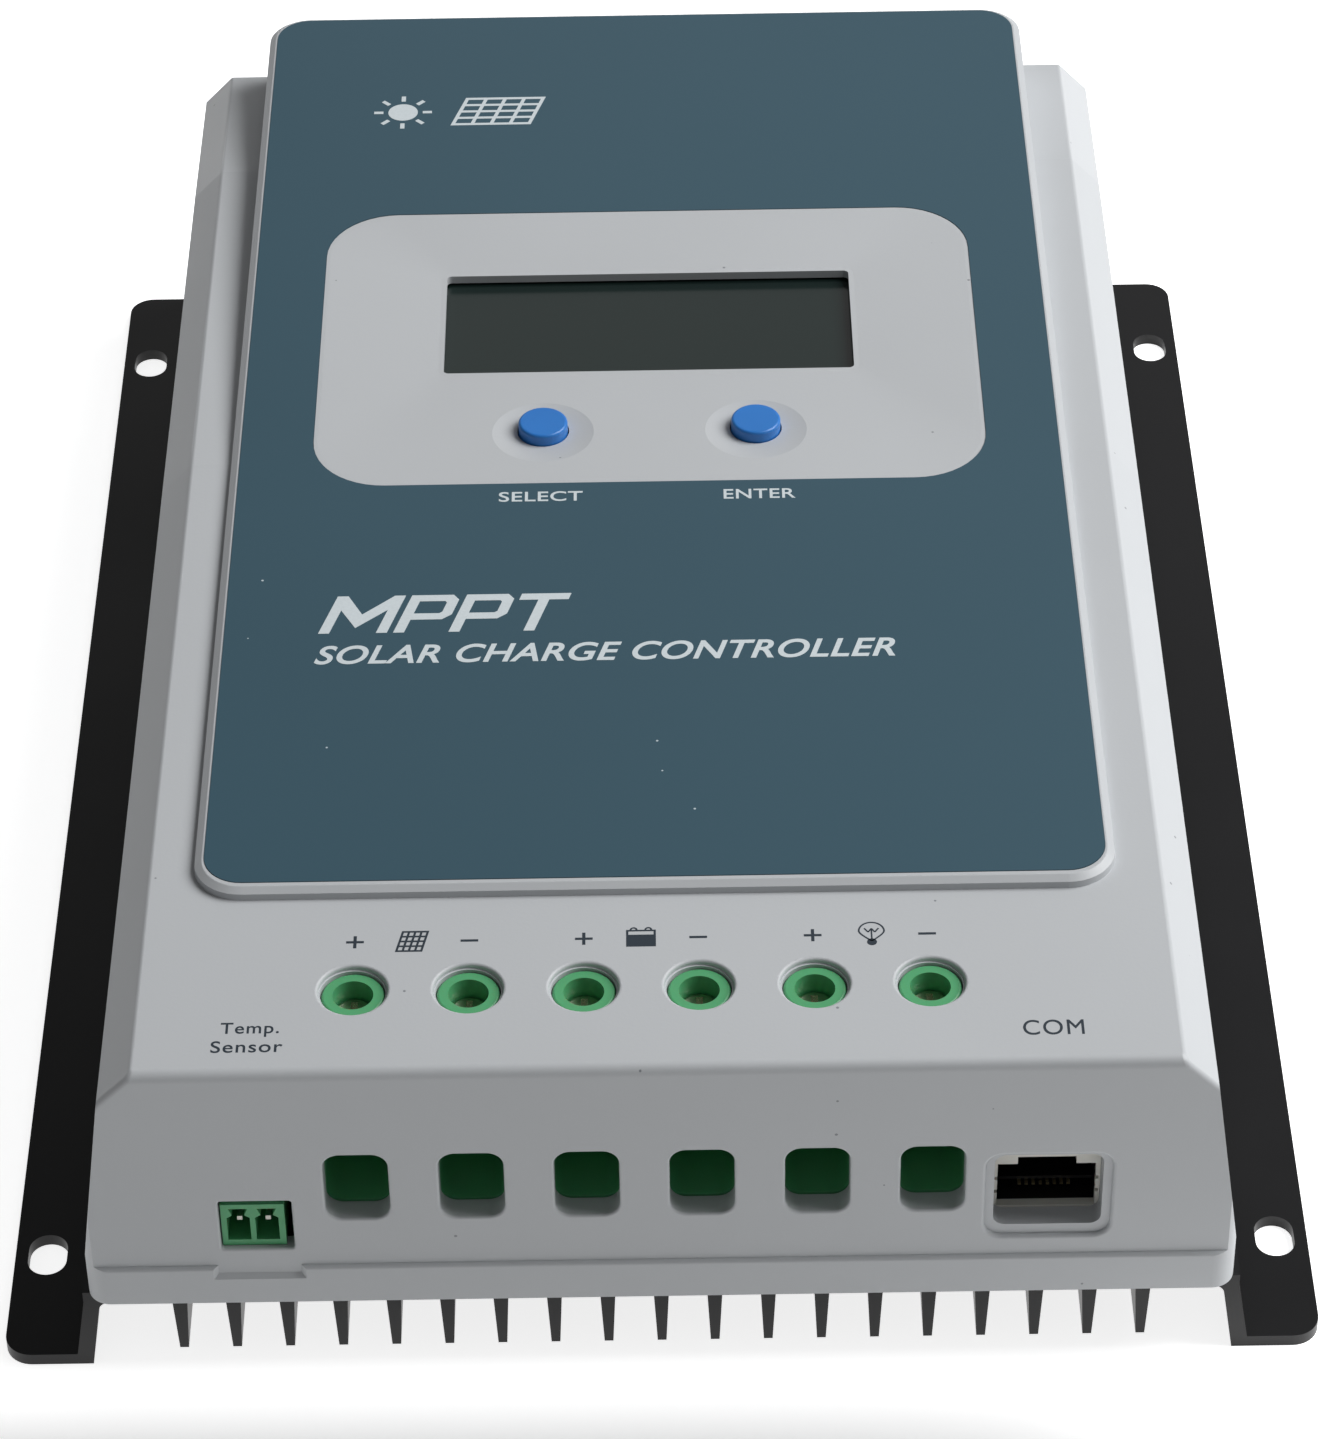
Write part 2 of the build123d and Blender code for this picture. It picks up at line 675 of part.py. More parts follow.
# ---------------------------------------------------------------- data socket
def com_mouth(grow):
    """Sketch faces of the plug window with its latch notch, grown by a clearance."""
    width, height = com_mouth_size
    with Locations((com_x, com_mouth_low_z + height / 2)):
        Rectangle(width + grow, height + grow)
    with Locations((com_x, com_mouth_low_z + height + com_notch_size[1] / 2 - 0.1)):
        Rectangle(com_notch_size[0] + grow, com_notch_size[1] + 0.2)


jack_front_y = com_floor_y + com_bezel_thick
jack_size = (15.8, 15.2, 13.4)
with BuildPart() as com_bezel:
    with BuildSketch(front_plane(jack_front_y)):
        with Locations((com_x, com_recess_z)):
            RectangleRounded(com_recess_size[0] - 0.1, com_recess_size[1] - 0.1, 1.5)
    extrude(amount=com_bezel_thick)
    with BuildSketch(front_plane(jack_front_y + 1)):
        com_mouth(0)
        with Locations((com_x, com_mouth_low_z + com_mouth_size[1] / 2)):
            with GridLocations(0, 2.4, 1, 2):
                Rectangle(com_mouth_size[0] + 0.8, 0.6)
    extrude(amount=com_bezel_thick + 2, mode=Mode.SUBTRACT)
save(com_bezel, "com_bezel")

with BuildPart() as com_jack:
    with BuildSketch(Plane.XY.offset(board_top_z)):
        with Locations((com_x, jack_front_y + jack_size[1] / 2)):
            Rectangle(jack_size[0], jack_size[1])
    extrude(amount=jack_size[2])
    with BuildSketch(front_plane(jack_front_y - 1)):
        com_mouth(0.2)
    extrude(amount=-(com_back_y - jack_front_y + 1), mode=Mode.SUBTRACT)
    # comb that covers the wires except at their tips
    with BuildSketch(front_plane(com_wire_tip_y + 0.7)):
        with Locations((com_x, com_wire_z + 0.55)):
            Rectangle(com_mouth_size[0], 0.5)
    extrude(amount=-(com_back_y - com_wire_tip_y - 0.7))
save(com_jack, "com_jack")

with BuildPart() as com_contacts:
    with BuildSketch(Plane.XY.offset(com_wire_z - 0.15)):
        with Locations((com_x, (com_wire_tip_y + com_back_y - 0.05) / 2)):
            with GridLocations(com_wire_pitch, 0, 8, 1):
                Rectangle(2 * com_wire_half, com_back_y - 0.05 - com_wire_tip_y)
    extrude(amount=0.3)
save(com_contacts, "com_contacts")


# ---------------------------------------------------------------- sensor socket
with BuildPart() as temp_header:
    with BuildSketch(Plane.XY.offset(board_top_z + 0.05)):
        with Locations((temp_x, (temp_front_y + temp_back_y) / 2)):
            Rectangle(2 * temp_half, temp_back_y - temp_front_y)
    extrude(amount=temp_top_z - board_top_z - 0.05)
    with BuildSketch(front_plane(temp_front_y - 1)):
        with Locations(*[(x, 0) for x in temp_pin_xs]):
            Polygon(
                (-1.6, 24.7), (1.5, 24.7), (1.5, 28.8), (0.8, 29.3), (1.25, 30.5),
                (-1.3, 30.5), (-0.85, 29.3), (-1.6, 28.8), align=None)
    extrude(amount=-8.4, mode=Mode.SUBTRACT)
    with BuildSketch(front_plane(temp_front_y)):
        with Locations(*[(x, temp_pin_z) for x in temp_pin_xs]):
            Rectangle(temp_pin_size + 0.1, temp_pin_size + 0.1)
    extrude(amount=-12, mode=Mode.SUBTRACT)
    with BuildSketch(Plane.XY.offset(board_top_z - 1)):
        with Locations(*[(x, temp_pin_y + 0.3) for x in temp_pin_xs]):
            Rectangle(temp_pin_size + 0.1, temp_pin_size + 0.8)
    extrude(amount=4.9, mode=Mode.SUBTRACT)
save(temp_header, "temp_header")

with BuildPart() as temp_pins:
    with BuildSketch(front_plane(-123.2)):
        with Locations(*[(x, temp_pin_z) for x in temp_pin_xs]):
            Rectangle(temp_pin_size, temp_pin_size)
    extrude(amount=-7.6)
    with BuildSketch(Plane.XY.offset(board_under_z - pin_reach)):
        with Locations(*[(x, temp_pin_y) for x in temp_pin_xs]):
            Rectangle(temp_pin_size, temp_pin_size)
    extrude(amount=temp_pin_z + temp_pin_size / 2 - board_under_z + pin_reach)
save(temp_pins, "temp_pins")


# ---------------------------------------------------------------- power parts on the board
coil_spot = (-30.0, 86.0)
coil_outer_r = 21.0
coil_inner_r = 12.0
coil_low_z = 26.4
coil_height = 14.5
with BuildPart() as inductor_core:
    with BuildSketch(Plane.XY.offset(coil_low_z)):
        with Locations(coil_spot):
            Circle(coil_outer_r)
            Circle(coil_inner_r, mode=Mode.SUBTRACT)
    extrude(amount=coil_height)
    fillet(inductor_core.edges(), 1.0)
save(inductor_core, "inductor_core")

turn_count = 22
wire_half = 0.8
turn_gap = 0.25
turn_size = (coil_outer_r - coil_inner_r + 2 * turn_gap, coil_height + 2 * turn_gap)
with BuildPart() as inductor_winding:
    for step in range(turn_count):
        angle = radians(step * 360 / turn_count)
        turn_plane = Plane(
            origin=(*coil_spot, coil_low_z + coil_height / 2),
            x_dir=(cos(angle), sin(angle), 0), z_dir=(sin(angle), -cos(angle), 0))
        with BuildSketch(turn_plane):
            with Locations(((coil_outer_r + coil_inner_r) / 2, 0)):
                RectangleRounded(turn_size[0] + 4 * wire_half, turn_size[1] + 4 * wire_half, 2.4)
                RectangleRounded(*turn_size, 0.9, mode=Mode.SUBTRACT)
        extrude(amount=wire_half, both=True)
save(inductor_winding, "inductor_winding")

capacitor_spots = [(x, y) for x in (8.0, 28.0, 48.0) for y in (80.0, 101.0)]
with BuildPart() as capacitors:
    with BuildSketch(Plane.XY.offset(board_top_z)):
        with Locations(*capacitor_spots):
            Circle(9.0)
    extrude(amount=19.5)
    fillet(capacitors.edges().group_by(Axis.Z)[-1], 0.8)
save(capacitors, "capacitors")

pad_thick = 0.4
mosfet_xs = [(i - 2.5) * 16.0 for i in range(6)]
mosfet_y = -62.0
with BuildPart() as thermal_pad:
    with BuildSketch(Plane.XY.offset(base_top_z)):
        with Locations((0, mosfet_y)):
            Rectangle(104, 22)
        with Locations(*clamp_spots):
            Circle(1.7, mode=Mode.SUBTRACT)
    extrude(amount=pad_thick)
save(thermal_pad, "thermal_pad")

with BuildPart() as mosfets:
    with BuildSketch(Plane.XY.offset(base_top_z + pad_thick)):
        with Locations(*[(x, mosfet_y) for x in mosfet_xs]):
            Rectangle(10.2, 15.4)
    extrude(amount=1.3)
    with BuildSketch(Plane.XY.offset(base_top_z + pad_thick + 1.3)):
        with Locations(*[(x, mosfet_y - 3.0) for x in mosfet_xs]):
            Rectangle(10.2, 9.2)
    extrude(amount=2.9)
save(mosfets, "mosfets")

clamp_low_z = base_top_z + pad_thick + 4.2
with BuildPart() as mosfet_clamp:
    with BuildSketch(Plane.XY.offset(clamp_low_z)):
        with Locations((0, mosfet_y - 3.0)):
            Rectangle(102, 8)
        with Locations(*clamp_spots):
            Circle(1.7, mode=Mode.SUBTRACT)
    extrude(amount=1.0)
save(mosfet_clamp, "mosfet_clamp")


# ---------------------------------------------------------------- small board parts
with BuildPart() as control_chip:
    with BuildSketch(Plane.XY.offset(board_top_z)):
        with Locations((-30.0, -40.0)):
            RectangleRounded(14, 14, 0.5)
    extrude(amount=1.4)
save(control_chip, "control_chip")

with BuildPart() as driver_chips:
    with BuildSketch(Plane.XY.offset(board_top_z)):
        with Locations(*[(x, -74.0) for x in (-36.0, -12.0, 12.0, 36.0)]):
            Rectangle(10, 7.6)
    extrude(amount=2.4)
save(driver_chips, "driver_chips")

with BuildPart() as film_capacitors:
    with BuildSketch(Plane.XY.offset(board_top_z)):
        with Locations(*[(x, -88.0) for x in (-32.4, -1.9, 28.6)]):
            RectangleRounded(17.5, 8.5, 0.4)
    extrude(amount=15)
save(film_capacitors, "film_capacitors")

with BuildPart() as shunt_resistors:
    for shunt_x in (14.0, 34.0):
        with BuildSketch(front_plane(-38.0)):
            with Locations((shunt_x, board_top_z)):
                Polygon((-7, 0), (-5, 0), (-5, 4), (5, 4), (5, 0), (7, 0), (7, 5.5), (-7, 5.5), align=None)
        extrude(amount=-3.0)
save(shunt_resistors, "shunt_resistors")


# ---------------------------------------------------------------- fasteners
def pan_screws(name, spots, seat_z, reach, shank_r, head_r, head_height):
    """Group of identical screws driven along +Z, their heads below seat_z."""
    with BuildPart() as group:
        with BuildSketch(Plane.XY.offset(seat_z - head_height)):
            with Locations(*spots):
                Circle(head_r)
        extrude(amount=head_height)
        fillet(group.edges().group_by(Axis.Z)[0], 0.35 * head_height)
        with BuildSketch(Plane.XY.offset(seat_z)):
            with Locations(*spots):
                Circle(shank_r)
        extrude(amount=reach)
        with BuildSketch(Plane.XY.offset(seat_z - head_height - 0.1)):
            with Locations(*spots):
                Rectangle(1.3 * head_r, 0.6)
                Rectangle(0.6, 1.3 * head_r)
        extrude(amount=0.6 * head_height, mode=Mode.SUBTRACT)
    save(group, name)


pan_screws("cover_screws", cover_screw_spots, base_under_z, 13.0, screw_r, 2.7, 2.0)
pan_screws("display_board_screws", display_screw_spots, display_board_z, 7.0, 1.05, 2.1, 1.5)

with BuildPart() as board_standoffs:
    with BuildSketch(Plane.XY.offset(base_top_z)):
        with Locations(*standoff_spots):
            RegularPolygon(3.0, 6)
            Circle(1.55, mode=Mode.SUBTRACT)
    extrude(amount=board_under_z - base_top_z)
save(board_standoffs, "board_standoffs")


def cap_screws(name, spots, seat_z, reach, shank_r, head_r, head_height):
    """Group of identical screws driven along -Z, their heads above seat_z."""
    with BuildPart() as group:
        with BuildSketch(Plane.XY.offset(seat_z)):
            with Locations(*spots):
                Circle(head_r)
        extrude(amount=head_height)
        fillet(group.edges().group_by(Axis.Z)[-1], 0.35 * head_height)
        with BuildSketch(Plane.XY.offset(seat_z - reach)):
            with Locations(*spots):
                Circle(shank_r)
        extrude(amount=reach)
        with BuildSketch(Plane.XY.offset(seat_z + 0.45 * head_height)):
            with Locations(*spots):
                Rectangle(1.3 * head_r, 0.6)
                Rectangle(0.6, 1.3 * head_r)
        extrude(amount=head_height, mode=Mode.SUBTRACT)
    save(group, name)


cap_screws("board_screws", standoff_spots, board_top_z, 10.0, screw_r, 2.8, 2.0)
cap_screws("clamp_screws", clamp_spots, clamp_low_z + 1.0, 8.0, screw_r, 2.8, 2.0)
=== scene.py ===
"""A wall-mounted solar charge controller: finishes for its CAD pieces, its printed marks and a stage."""

from math import cos, pi, radians, sin

import bmesh
import bpy
from mathutils import Matrix, Vector


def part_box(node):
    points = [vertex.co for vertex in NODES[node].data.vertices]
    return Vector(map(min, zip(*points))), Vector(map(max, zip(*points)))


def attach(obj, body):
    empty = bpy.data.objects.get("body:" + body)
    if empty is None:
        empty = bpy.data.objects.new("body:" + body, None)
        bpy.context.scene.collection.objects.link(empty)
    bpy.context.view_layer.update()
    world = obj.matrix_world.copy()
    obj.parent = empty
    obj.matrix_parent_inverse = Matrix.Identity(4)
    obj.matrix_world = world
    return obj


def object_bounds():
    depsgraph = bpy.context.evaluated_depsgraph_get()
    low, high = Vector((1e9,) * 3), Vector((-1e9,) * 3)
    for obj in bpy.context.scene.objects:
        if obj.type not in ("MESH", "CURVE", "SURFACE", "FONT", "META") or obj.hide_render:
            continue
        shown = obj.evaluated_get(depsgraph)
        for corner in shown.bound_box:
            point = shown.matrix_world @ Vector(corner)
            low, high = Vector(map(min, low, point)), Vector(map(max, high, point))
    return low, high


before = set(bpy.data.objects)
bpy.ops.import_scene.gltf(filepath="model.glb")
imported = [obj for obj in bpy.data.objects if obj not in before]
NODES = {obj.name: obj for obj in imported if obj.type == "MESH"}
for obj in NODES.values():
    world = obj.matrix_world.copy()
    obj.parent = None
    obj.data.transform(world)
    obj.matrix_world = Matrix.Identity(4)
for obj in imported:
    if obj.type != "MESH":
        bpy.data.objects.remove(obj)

bl_info = {
    "name": "Solar charge controller",
    "version": (1, 0, 0),
    "blender": (4, 5, 0),
    "location": "View3D > Sidebar > Controller",
    "description": "Finishes, printed marks and stage of a wall-mounted solar charge controller",
    "category": "Object",
}

MM = 0.001
CAD_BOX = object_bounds()
BASE = "base"
TERMINALS = ["pv_plus", "pv_minus", "battery_plus", "battery_minus", "load_plus", "load_minus"]
DECK_LEVEL = 56.0 * MM
SIGN_ROW = -100.4 * MM
LABEL_ICON_ROW = 96.5 * MM
LEAN = 0.3
# Height of a capital in the built-in typeface, at a text size of one.
CAPITAL_HEIGHT = 0.729
# Each lamp's place and side in metres. Both face the middle of the floor.
KEY_LAMP = ((1.05, 0.2, 1.15), 1.1)
BACK_LAMP = ((0.1, 1.4, 0.75), 0.9)


# Small helpers ------------------------------------------------------------------------------

def linear(hex_colour):
    """An sRGB hex colour as the linear RGBA that shaders take."""
    parts = [int(hex_colour[i:i + 2], 16) / 255 for i in (1, 3, 5)]
    return [*(c / 12.92 if c <= 0.04045 else ((c + 0.055) / 1.055) ** 2.4 for c in parts), 1.0]


def per(millimetres):
    """The texture scale, in repeats a metre, of a pattern that repeats every so many millimetres."""
    return 1000.0 / millimetres


def add(tree, kind, values=None, links=None, **settings):
    """Adds one node with its settings, its unlinked socket values and its links."""
    node = tree.nodes.new(kind)
    for name, value in settings.items():
        setattr(node, name, value)
    for name, value in (values or {}).items():
        node.inputs[name].default_value = value
    for name, source in (links or {}).items():
        tree.links.new(source, node.inputs[name])
    return node


def start_material(name):
    """An empty node material and its tree."""
    material = bpy.data.materials.new(name)
    material.use_nodes = True
    material.node_tree.nodes.clear()
    return material, material.node_tree


def coat(material, *names):
    """Gives CAD nodes a material through their own slots."""
    for name in names:
        piece = NODES[name]
        if not piece.material_slots:
            piece.data.materials.append(material)
        for held in piece.material_slots:
            held.material = material


def keep_piece(name, work, material):
    """Turns a finished bmesh into an object that rides on the fixed body."""
    mesh = bpy.data.meshes.new(name)
    bmesh.ops.recalc_face_normals(work, faces=work.faces)
    work.to_mesh(mesh)
    work.free()
    mesh.materials.append(material)
    piece = bpy.data.objects.new(name, mesh)
    bpy.context.scene.collection.objects.link(piece)
    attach(piece, BASE)
    return piece


# Materials ----------------------------------------------------------------------------------

def moulded_abs(name, colour, grain_mm, roughness, dust_colour):
    """Injection moulded ABS: spark-eroded grain blurs its highlights, with flow clouds and some dust."""
    material, tree = start_material(name)
    place = add(tree, "ShaderNodeTexCoord").outputs["Object"]
    # The mould's spark texture is really about 0.05 mm, and is drawn some ten times coarser to show.
    grain = add(tree, "ShaderNodeTexNoise", {"Scale": per(grain_mm), "Detail": 3.0}, {"Vector": place})
    clouds = add(tree, "ShaderNodeTexNoise", {"Scale": per(45.0), "Detail": 2.0}, {"Vector": place})
    tint = add(tree, "ShaderNodeValToRGB", links={"Fac": clouds.outputs["Fac"]})
    tint.color_ramp.elements[0].color = [c * 0.965 for c in colour[:3]] + [1.0]
    tint.color_ramp.elements[1].color = [min(1.0, c * 1.03) for c in colour[:3]] + [1.0]
    # One cell in two, each 6.5 mm wide, holds a dust speck of about 0.2 mm radius at its point.
    specks = add(tree, "ShaderNodeTexVoronoi", {"Scale": per(6.5)}, {"Vector": place})
    near = add(
        tree, "ShaderNodeMath", {1: 0.034}, {0: specks.outputs["Distance"]}, operation="LESS_THAN",
    )
    pick = add(tree, "ShaderNodeSeparateColor", links={"Color": specks.outputs["Color"]})
    chosen = add(tree, "ShaderNodeMath", {1: 0.5}, {0: pick.outputs["Red"]}, operation="GREATER_THAN")
    dust = add(
        tree, "ShaderNodeMath", None, {0: near.outputs[0], 1: chosen.outputs[0]}, operation="MULTIPLY",
    )
    soft = add(tree, "ShaderNodeMath", {1: 0.75}, {0: dust.outputs[0]}, operation="MULTIPLY")
    dusty = add(
        tree, "ShaderNodeMix", {7: dust_colour}, {0: soft.outputs[0], 6: tint.outputs["Color"]},
        data_type="RGBA",
    )
    bump = add(
        tree, "ShaderNodeBump", {"Strength": 0.35, "Distance": 0.03 * MM},
        {"Height": grain.outputs["Fac"]},
    )
    rough = add(
        tree, "ShaderNodeMapRange", {"To Min": roughness - 0.05, "To Max": roughness + 0.06},
        {"Value": clouds.outputs["Fac"]},
    )
    shader = add(
        tree, "ShaderNodeBsdfPrincipled", {"IOR": 1.54},
        {"Base Color": dusty.outputs[2], "Roughness": rough.outputs[0], "Normal": bump.outputs["Normal"]},
    )
    add(tree, "ShaderNodeOutputMaterial", links={"Surface": shader.outputs["BSDF"]})
    return material


def printed_film(name, colour, dust_colour):
    """Reverse-printed polycarbonate film with a fine matt hard coat: broad soft sheen, small pale dust."""
    material, tree = start_material(name)
    place = add(tree, "ShaderNodeTexCoord").outputs["Object"]
    # The hard coat's grain is really a few hundredths of a millimetre, and is drawn coarser to show.
    grain = add(tree, "ShaderNodeTexNoise", {"Scale": per(0.35), "Detail": 2.0}, {"Vector": place})
    clouds = add(tree, "ShaderNodeTexNoise", {"Scale": per(90.0), "Detail": 2.0}, {"Vector": place})
    tint = add(tree, "ShaderNodeValToRGB", links={"Fac": clouds.outputs["Fac"]})
    tint.color_ramp.elements[0].color = [c * 0.94 for c in colour[:3]] + [1.0]
    tint.color_ramp.elements[1].color = [c * 1.06 for c in colour[:3]] + [1.0]
    specks = add(tree, "ShaderNodeTexVoronoi", {"Scale": per(7.5)}, {"Vector": place})
    near = add(
        tree, "ShaderNodeMath", {1: 0.024}, {0: specks.outputs["Distance"]}, operation="LESS_THAN",
    )
    pick = add(tree, "ShaderNodeSeparateColor", links={"Color": specks.outputs["Color"]})
    chosen = add(
        tree, "ShaderNodeMath", {1: 0.62}, {0: pick.outputs["Green"]}, operation="GREATER_THAN",
    )
    dust = add(
        tree, "ShaderNodeMath", None, {0: near.outputs[0], 1: chosen.outputs[0]}, operation="MULTIPLY",
    )
    dusty = add(
        tree, "ShaderNodeMix", {7: dust_colour}, {0: dust.outputs[0], 6: tint.outputs["Color"]},
        data_type="RGBA",
    )
    bump = add(
        tree, "ShaderNodeBump", {"Strength": 0.25, "Distance": 0.015 * MM},
        {"Height": grain.outputs["Fac"]},
    )
    shader = add(
        tree, "ShaderNodeBsdfPrincipled", {"IOR": 1.49, "Roughness": 0.42},
        {"Base Color": dusty.outputs[2], "Normal": bump.outputs["Normal"]},
    )
    add(tree, "ShaderNodeOutputMaterial", links={"Surface": shader.outputs["BSDF"]})
    return material


def anodised_extrusion(name, colour):
    """Black anodised aluminium extrusion: die lines along it, an etched matt skin, slight dye clouding."""
    material, tree = start_material(name)
    place = add(tree, "ShaderNodeTexCoord").outputs["Object"]
    # Die lines are really about 0.2 mm apart and etch pits below 0.05 mm. Both are drawn coarser to show.
    # The oxide is a clear dielectric layer over the metal, so the piece is shaded as one and not as metal.
    along = add(tree, "ShaderNodeMapping", {"Scale": (1.0, 0.012, 1.0)}, {"Vector": place})
    lines = add(
        tree, "ShaderNodeTexNoise", {"Scale": per(0.6), "Detail": 4.0},
        {"Vector": along.outputs["Vector"]},
    )
    etch = add(tree, "ShaderNodeTexNoise", {"Scale": per(0.25), "Detail": 2.0}, {"Vector": place})
    clouds = add(tree, "ShaderNodeTexNoise", {"Scale": per(35.0), "Detail": 3.0}, {"Vector": place})
    tint = add(tree, "ShaderNodeValToRGB", links={"Fac": clouds.outputs["Fac"]})
    tint.color_ramp.elements[0].color = [c * 0.8 for c in colour[:3]] + [1.0]
    tint.color_ramp.elements[1].color = [c * 1.25 for c in colour[:3]] + [1.0]
    ribs = add(
        tree, "ShaderNodeBump", {"Strength": 0.3, "Distance": 0.02 * MM}, {"Height": lines.outputs["Fac"]},
    )
    skin = add(
        tree, "ShaderNodeBump", {"Strength": 0.3, "Distance": 0.012 * MM},
        {"Height": etch.outputs["Fac"], "Normal": ribs.outputs["Normal"]},
    )
    rough = add(
        tree, "ShaderNodeMapRange", {"To Min": 0.3, "To Max": 0.42}, {"Value": clouds.outputs["Fac"]},
    )
    shader = add(
        tree, "ShaderNodeBsdfPrincipled", {"IOR": 1.5, "Specular IOR Level": 0.35},
        {
            "Base Color": tint.outputs["Color"], "Roughness": rough.outputs[0],
            "Normal": skin.outputs["Normal"],
        },
    )
    add(tree, "ShaderNodeOutputMaterial", links={"Surface": shader.outputs["BSDF"]})
    return material


def moulded_plastic(name, colour, roughness, grain_mm=0.5, ior=1.52, scatter=0.0):
    """A small moulded part: fine grain, slight colour clouds and, if it is translucent, a little depth."""
    material, tree = start_material(name)
    place = add(tree, "ShaderNodeTexCoord").outputs["Object"]
    # Mould grain on parts this small is really below 0.1 mm, and is drawn coarser so that it shows.
    grain = add(tree, "ShaderNodeTexNoise", {"Scale": per(grain_mm), "Detail": 3.0}, {"Vector": place})
    clouds = add(tree, "ShaderNodeTexNoise", {"Scale": per(9.0), "Detail": 2.0}, {"Vector": place})
    tint = add(tree, "ShaderNodeValToRGB", links={"Fac": clouds.outputs["Fac"]})
    tint.color_ramp.elements[0].color = [c * 0.92 for c in colour[:3]] + [1.0]
    tint.color_ramp.elements[1].color = [min(1.0, c * 1.08) for c in colour[:3]] + [1.0]
    bump = add(
        tree, "ShaderNodeBump", {"Strength": 0.2, "Distance": 0.02 * MM}, {"Height": grain.outputs["Fac"]},
    )
    rough = add(
        tree, "ShaderNodeMapRange", {"To Min": roughness - 0.05, "To Max": roughness + 0.05},
        {"Value": grain.outputs["Fac"]},
    )
    shader = add(
        tree, "ShaderNodeBsdfPrincipled",
        {"IOR": ior, "Subsurface Weight": scatter, "Subsurface Scale": 1.0 * MM},
        {
            "Base Color": tint.outputs["Color"], "Roughness": rough.outputs[0],
            "Normal": bump.outputs["Normal"],
        },
    )
    add(tree, "ShaderNodeOutputMaterial", links={"Surface": shader.outputs["BSDF"]})
    return material


def display_glass(name, colour):
    """Liquid crystal cell behind a polariser: near-black green, glossy, with faint wiping marks."""
    material, tree = start_material(name)
    place = add(tree, "ShaderNodeTexCoord").outputs["Object"]
    stretch = add(tree, "ShaderNodeMapping", {"Scale": (0.25, 1.0, 1.0)}, {"Vector": place})
    wipes = add(
        tree, "ShaderNodeTexNoise", {"Scale": per(9.0), "Detail": 5.0},
        {"Vector": stretch.outputs["Vector"]},
    )
    tint = add(tree, "ShaderNodeValToRGB", links={"Fac": wipes.outputs["Fac"]})
    tint.color_ramp.elements[0].color = [c * 0.93 for c in colour[:3]] + [1.0]
    tint.color_ramp.elements[1].color = [c * 1.07 for c in colour[:3]] + [1.0]
    rough = add(
        tree, "ShaderNodeMapRange", {"To Min": 0.16, "To Max": 0.24}, {"Value": wipes.outputs["Fac"]},
    )
    shader = add(
        tree, "ShaderNodeBsdfPrincipled", {"IOR": 1.5},
        {"Base Color": tint.outputs["Color"], "Roughness": rough.outputs[0]},
    )
    add(tree, "ShaderNodeOutputMaterial", links={"Surface": shader.outputs["BSDF"]})
    return material


def plated_metal(name, colour, roughness, streak_mm=0.3):
    """A small plated or turned metal part: fine machining marks and a slightly uneven shine."""
    material, tree = start_material(name)
    place = add(tree, "ShaderNodeTexCoord").outputs["Object"]
    # Machining marks are really below 0.05 mm, and are drawn coarser so that they show.
    marks = add(tree, "ShaderNodeTexNoise", {"Scale": per(streak_mm), "Detail": 4.0}, {"Vector": place})
    tarnish = add(tree, "ShaderNodeTexNoise", {"Scale": per(2.5), "Detail": 3.0}, {"Vector": place})
    tint = add(tree, "ShaderNodeValToRGB", links={"Fac": tarnish.outputs["Fac"]})
    tint.color_ramp.elements[0].color = [c * 0.75 for c in colour[:3]] + [1.0]
    tint.color_ramp.elements[1].color = [min(1.0, c * 1.1) for c in colour[:3]] + [1.0]
    bump = add(
        tree, "ShaderNodeBump", {"Strength": 0.3, "Distance": 0.02 * MM}, {"Height": marks.outputs["Fac"]},
    )
    rough = add(
        tree, "ShaderNodeMapRange", {"To Min": roughness - 0.07, "To Max": roughness + 0.1},
        {"Value": tarnish.outputs["Fac"]},
    )
    shader = add(
        tree, "ShaderNodeBsdfPrincipled", {"Metallic": 1.0},
        {
            "Base Color": tint.outputs["Color"], "Roughness": rough.outputs[0],
            "Normal": bump.outputs["Normal"],
        },
    )
    add(tree, "ShaderNodeOutputMaterial", links={"Surface": shader.outputs["BSDF"]})
    return material


def screen_ink(name, colour):
    """Screen-printed ink: a thin opaque layer with a slightly uneven mesh pattern."""
    material, tree = start_material(name)
    place = add(tree, "ShaderNodeTexCoord").outputs["Object"]
    # A printing screen's mesh is really about 0.1 mm, and is drawn coarser so that it shows.
    mesh_marks = add(tree, "ShaderNodeTexNoise", {"Scale": per(0.4), "Detail": 2.0}, {"Vector": place})
    tint = add(tree, "ShaderNodeValToRGB", links={"Fac": mesh_marks.outputs["Fac"]})
    tint.color_ramp.elements[0].color = [c * 0.9 for c in colour[:3]] + [1.0]
    tint.color_ramp.elements[1].color = [min(1.0, c * 1.06) for c in colour[:3]] + [1.0]
    shader = add(
        tree, "ShaderNodeBsdfPrincipled", {"Roughness": 0.5, "IOR": 1.5},
        {"Base Color": tint.outputs["Color"]},
    )
    add(tree, "ShaderNodeOutputMaterial", links={"Surface": shader.outputs["BSDF"]})
    return material


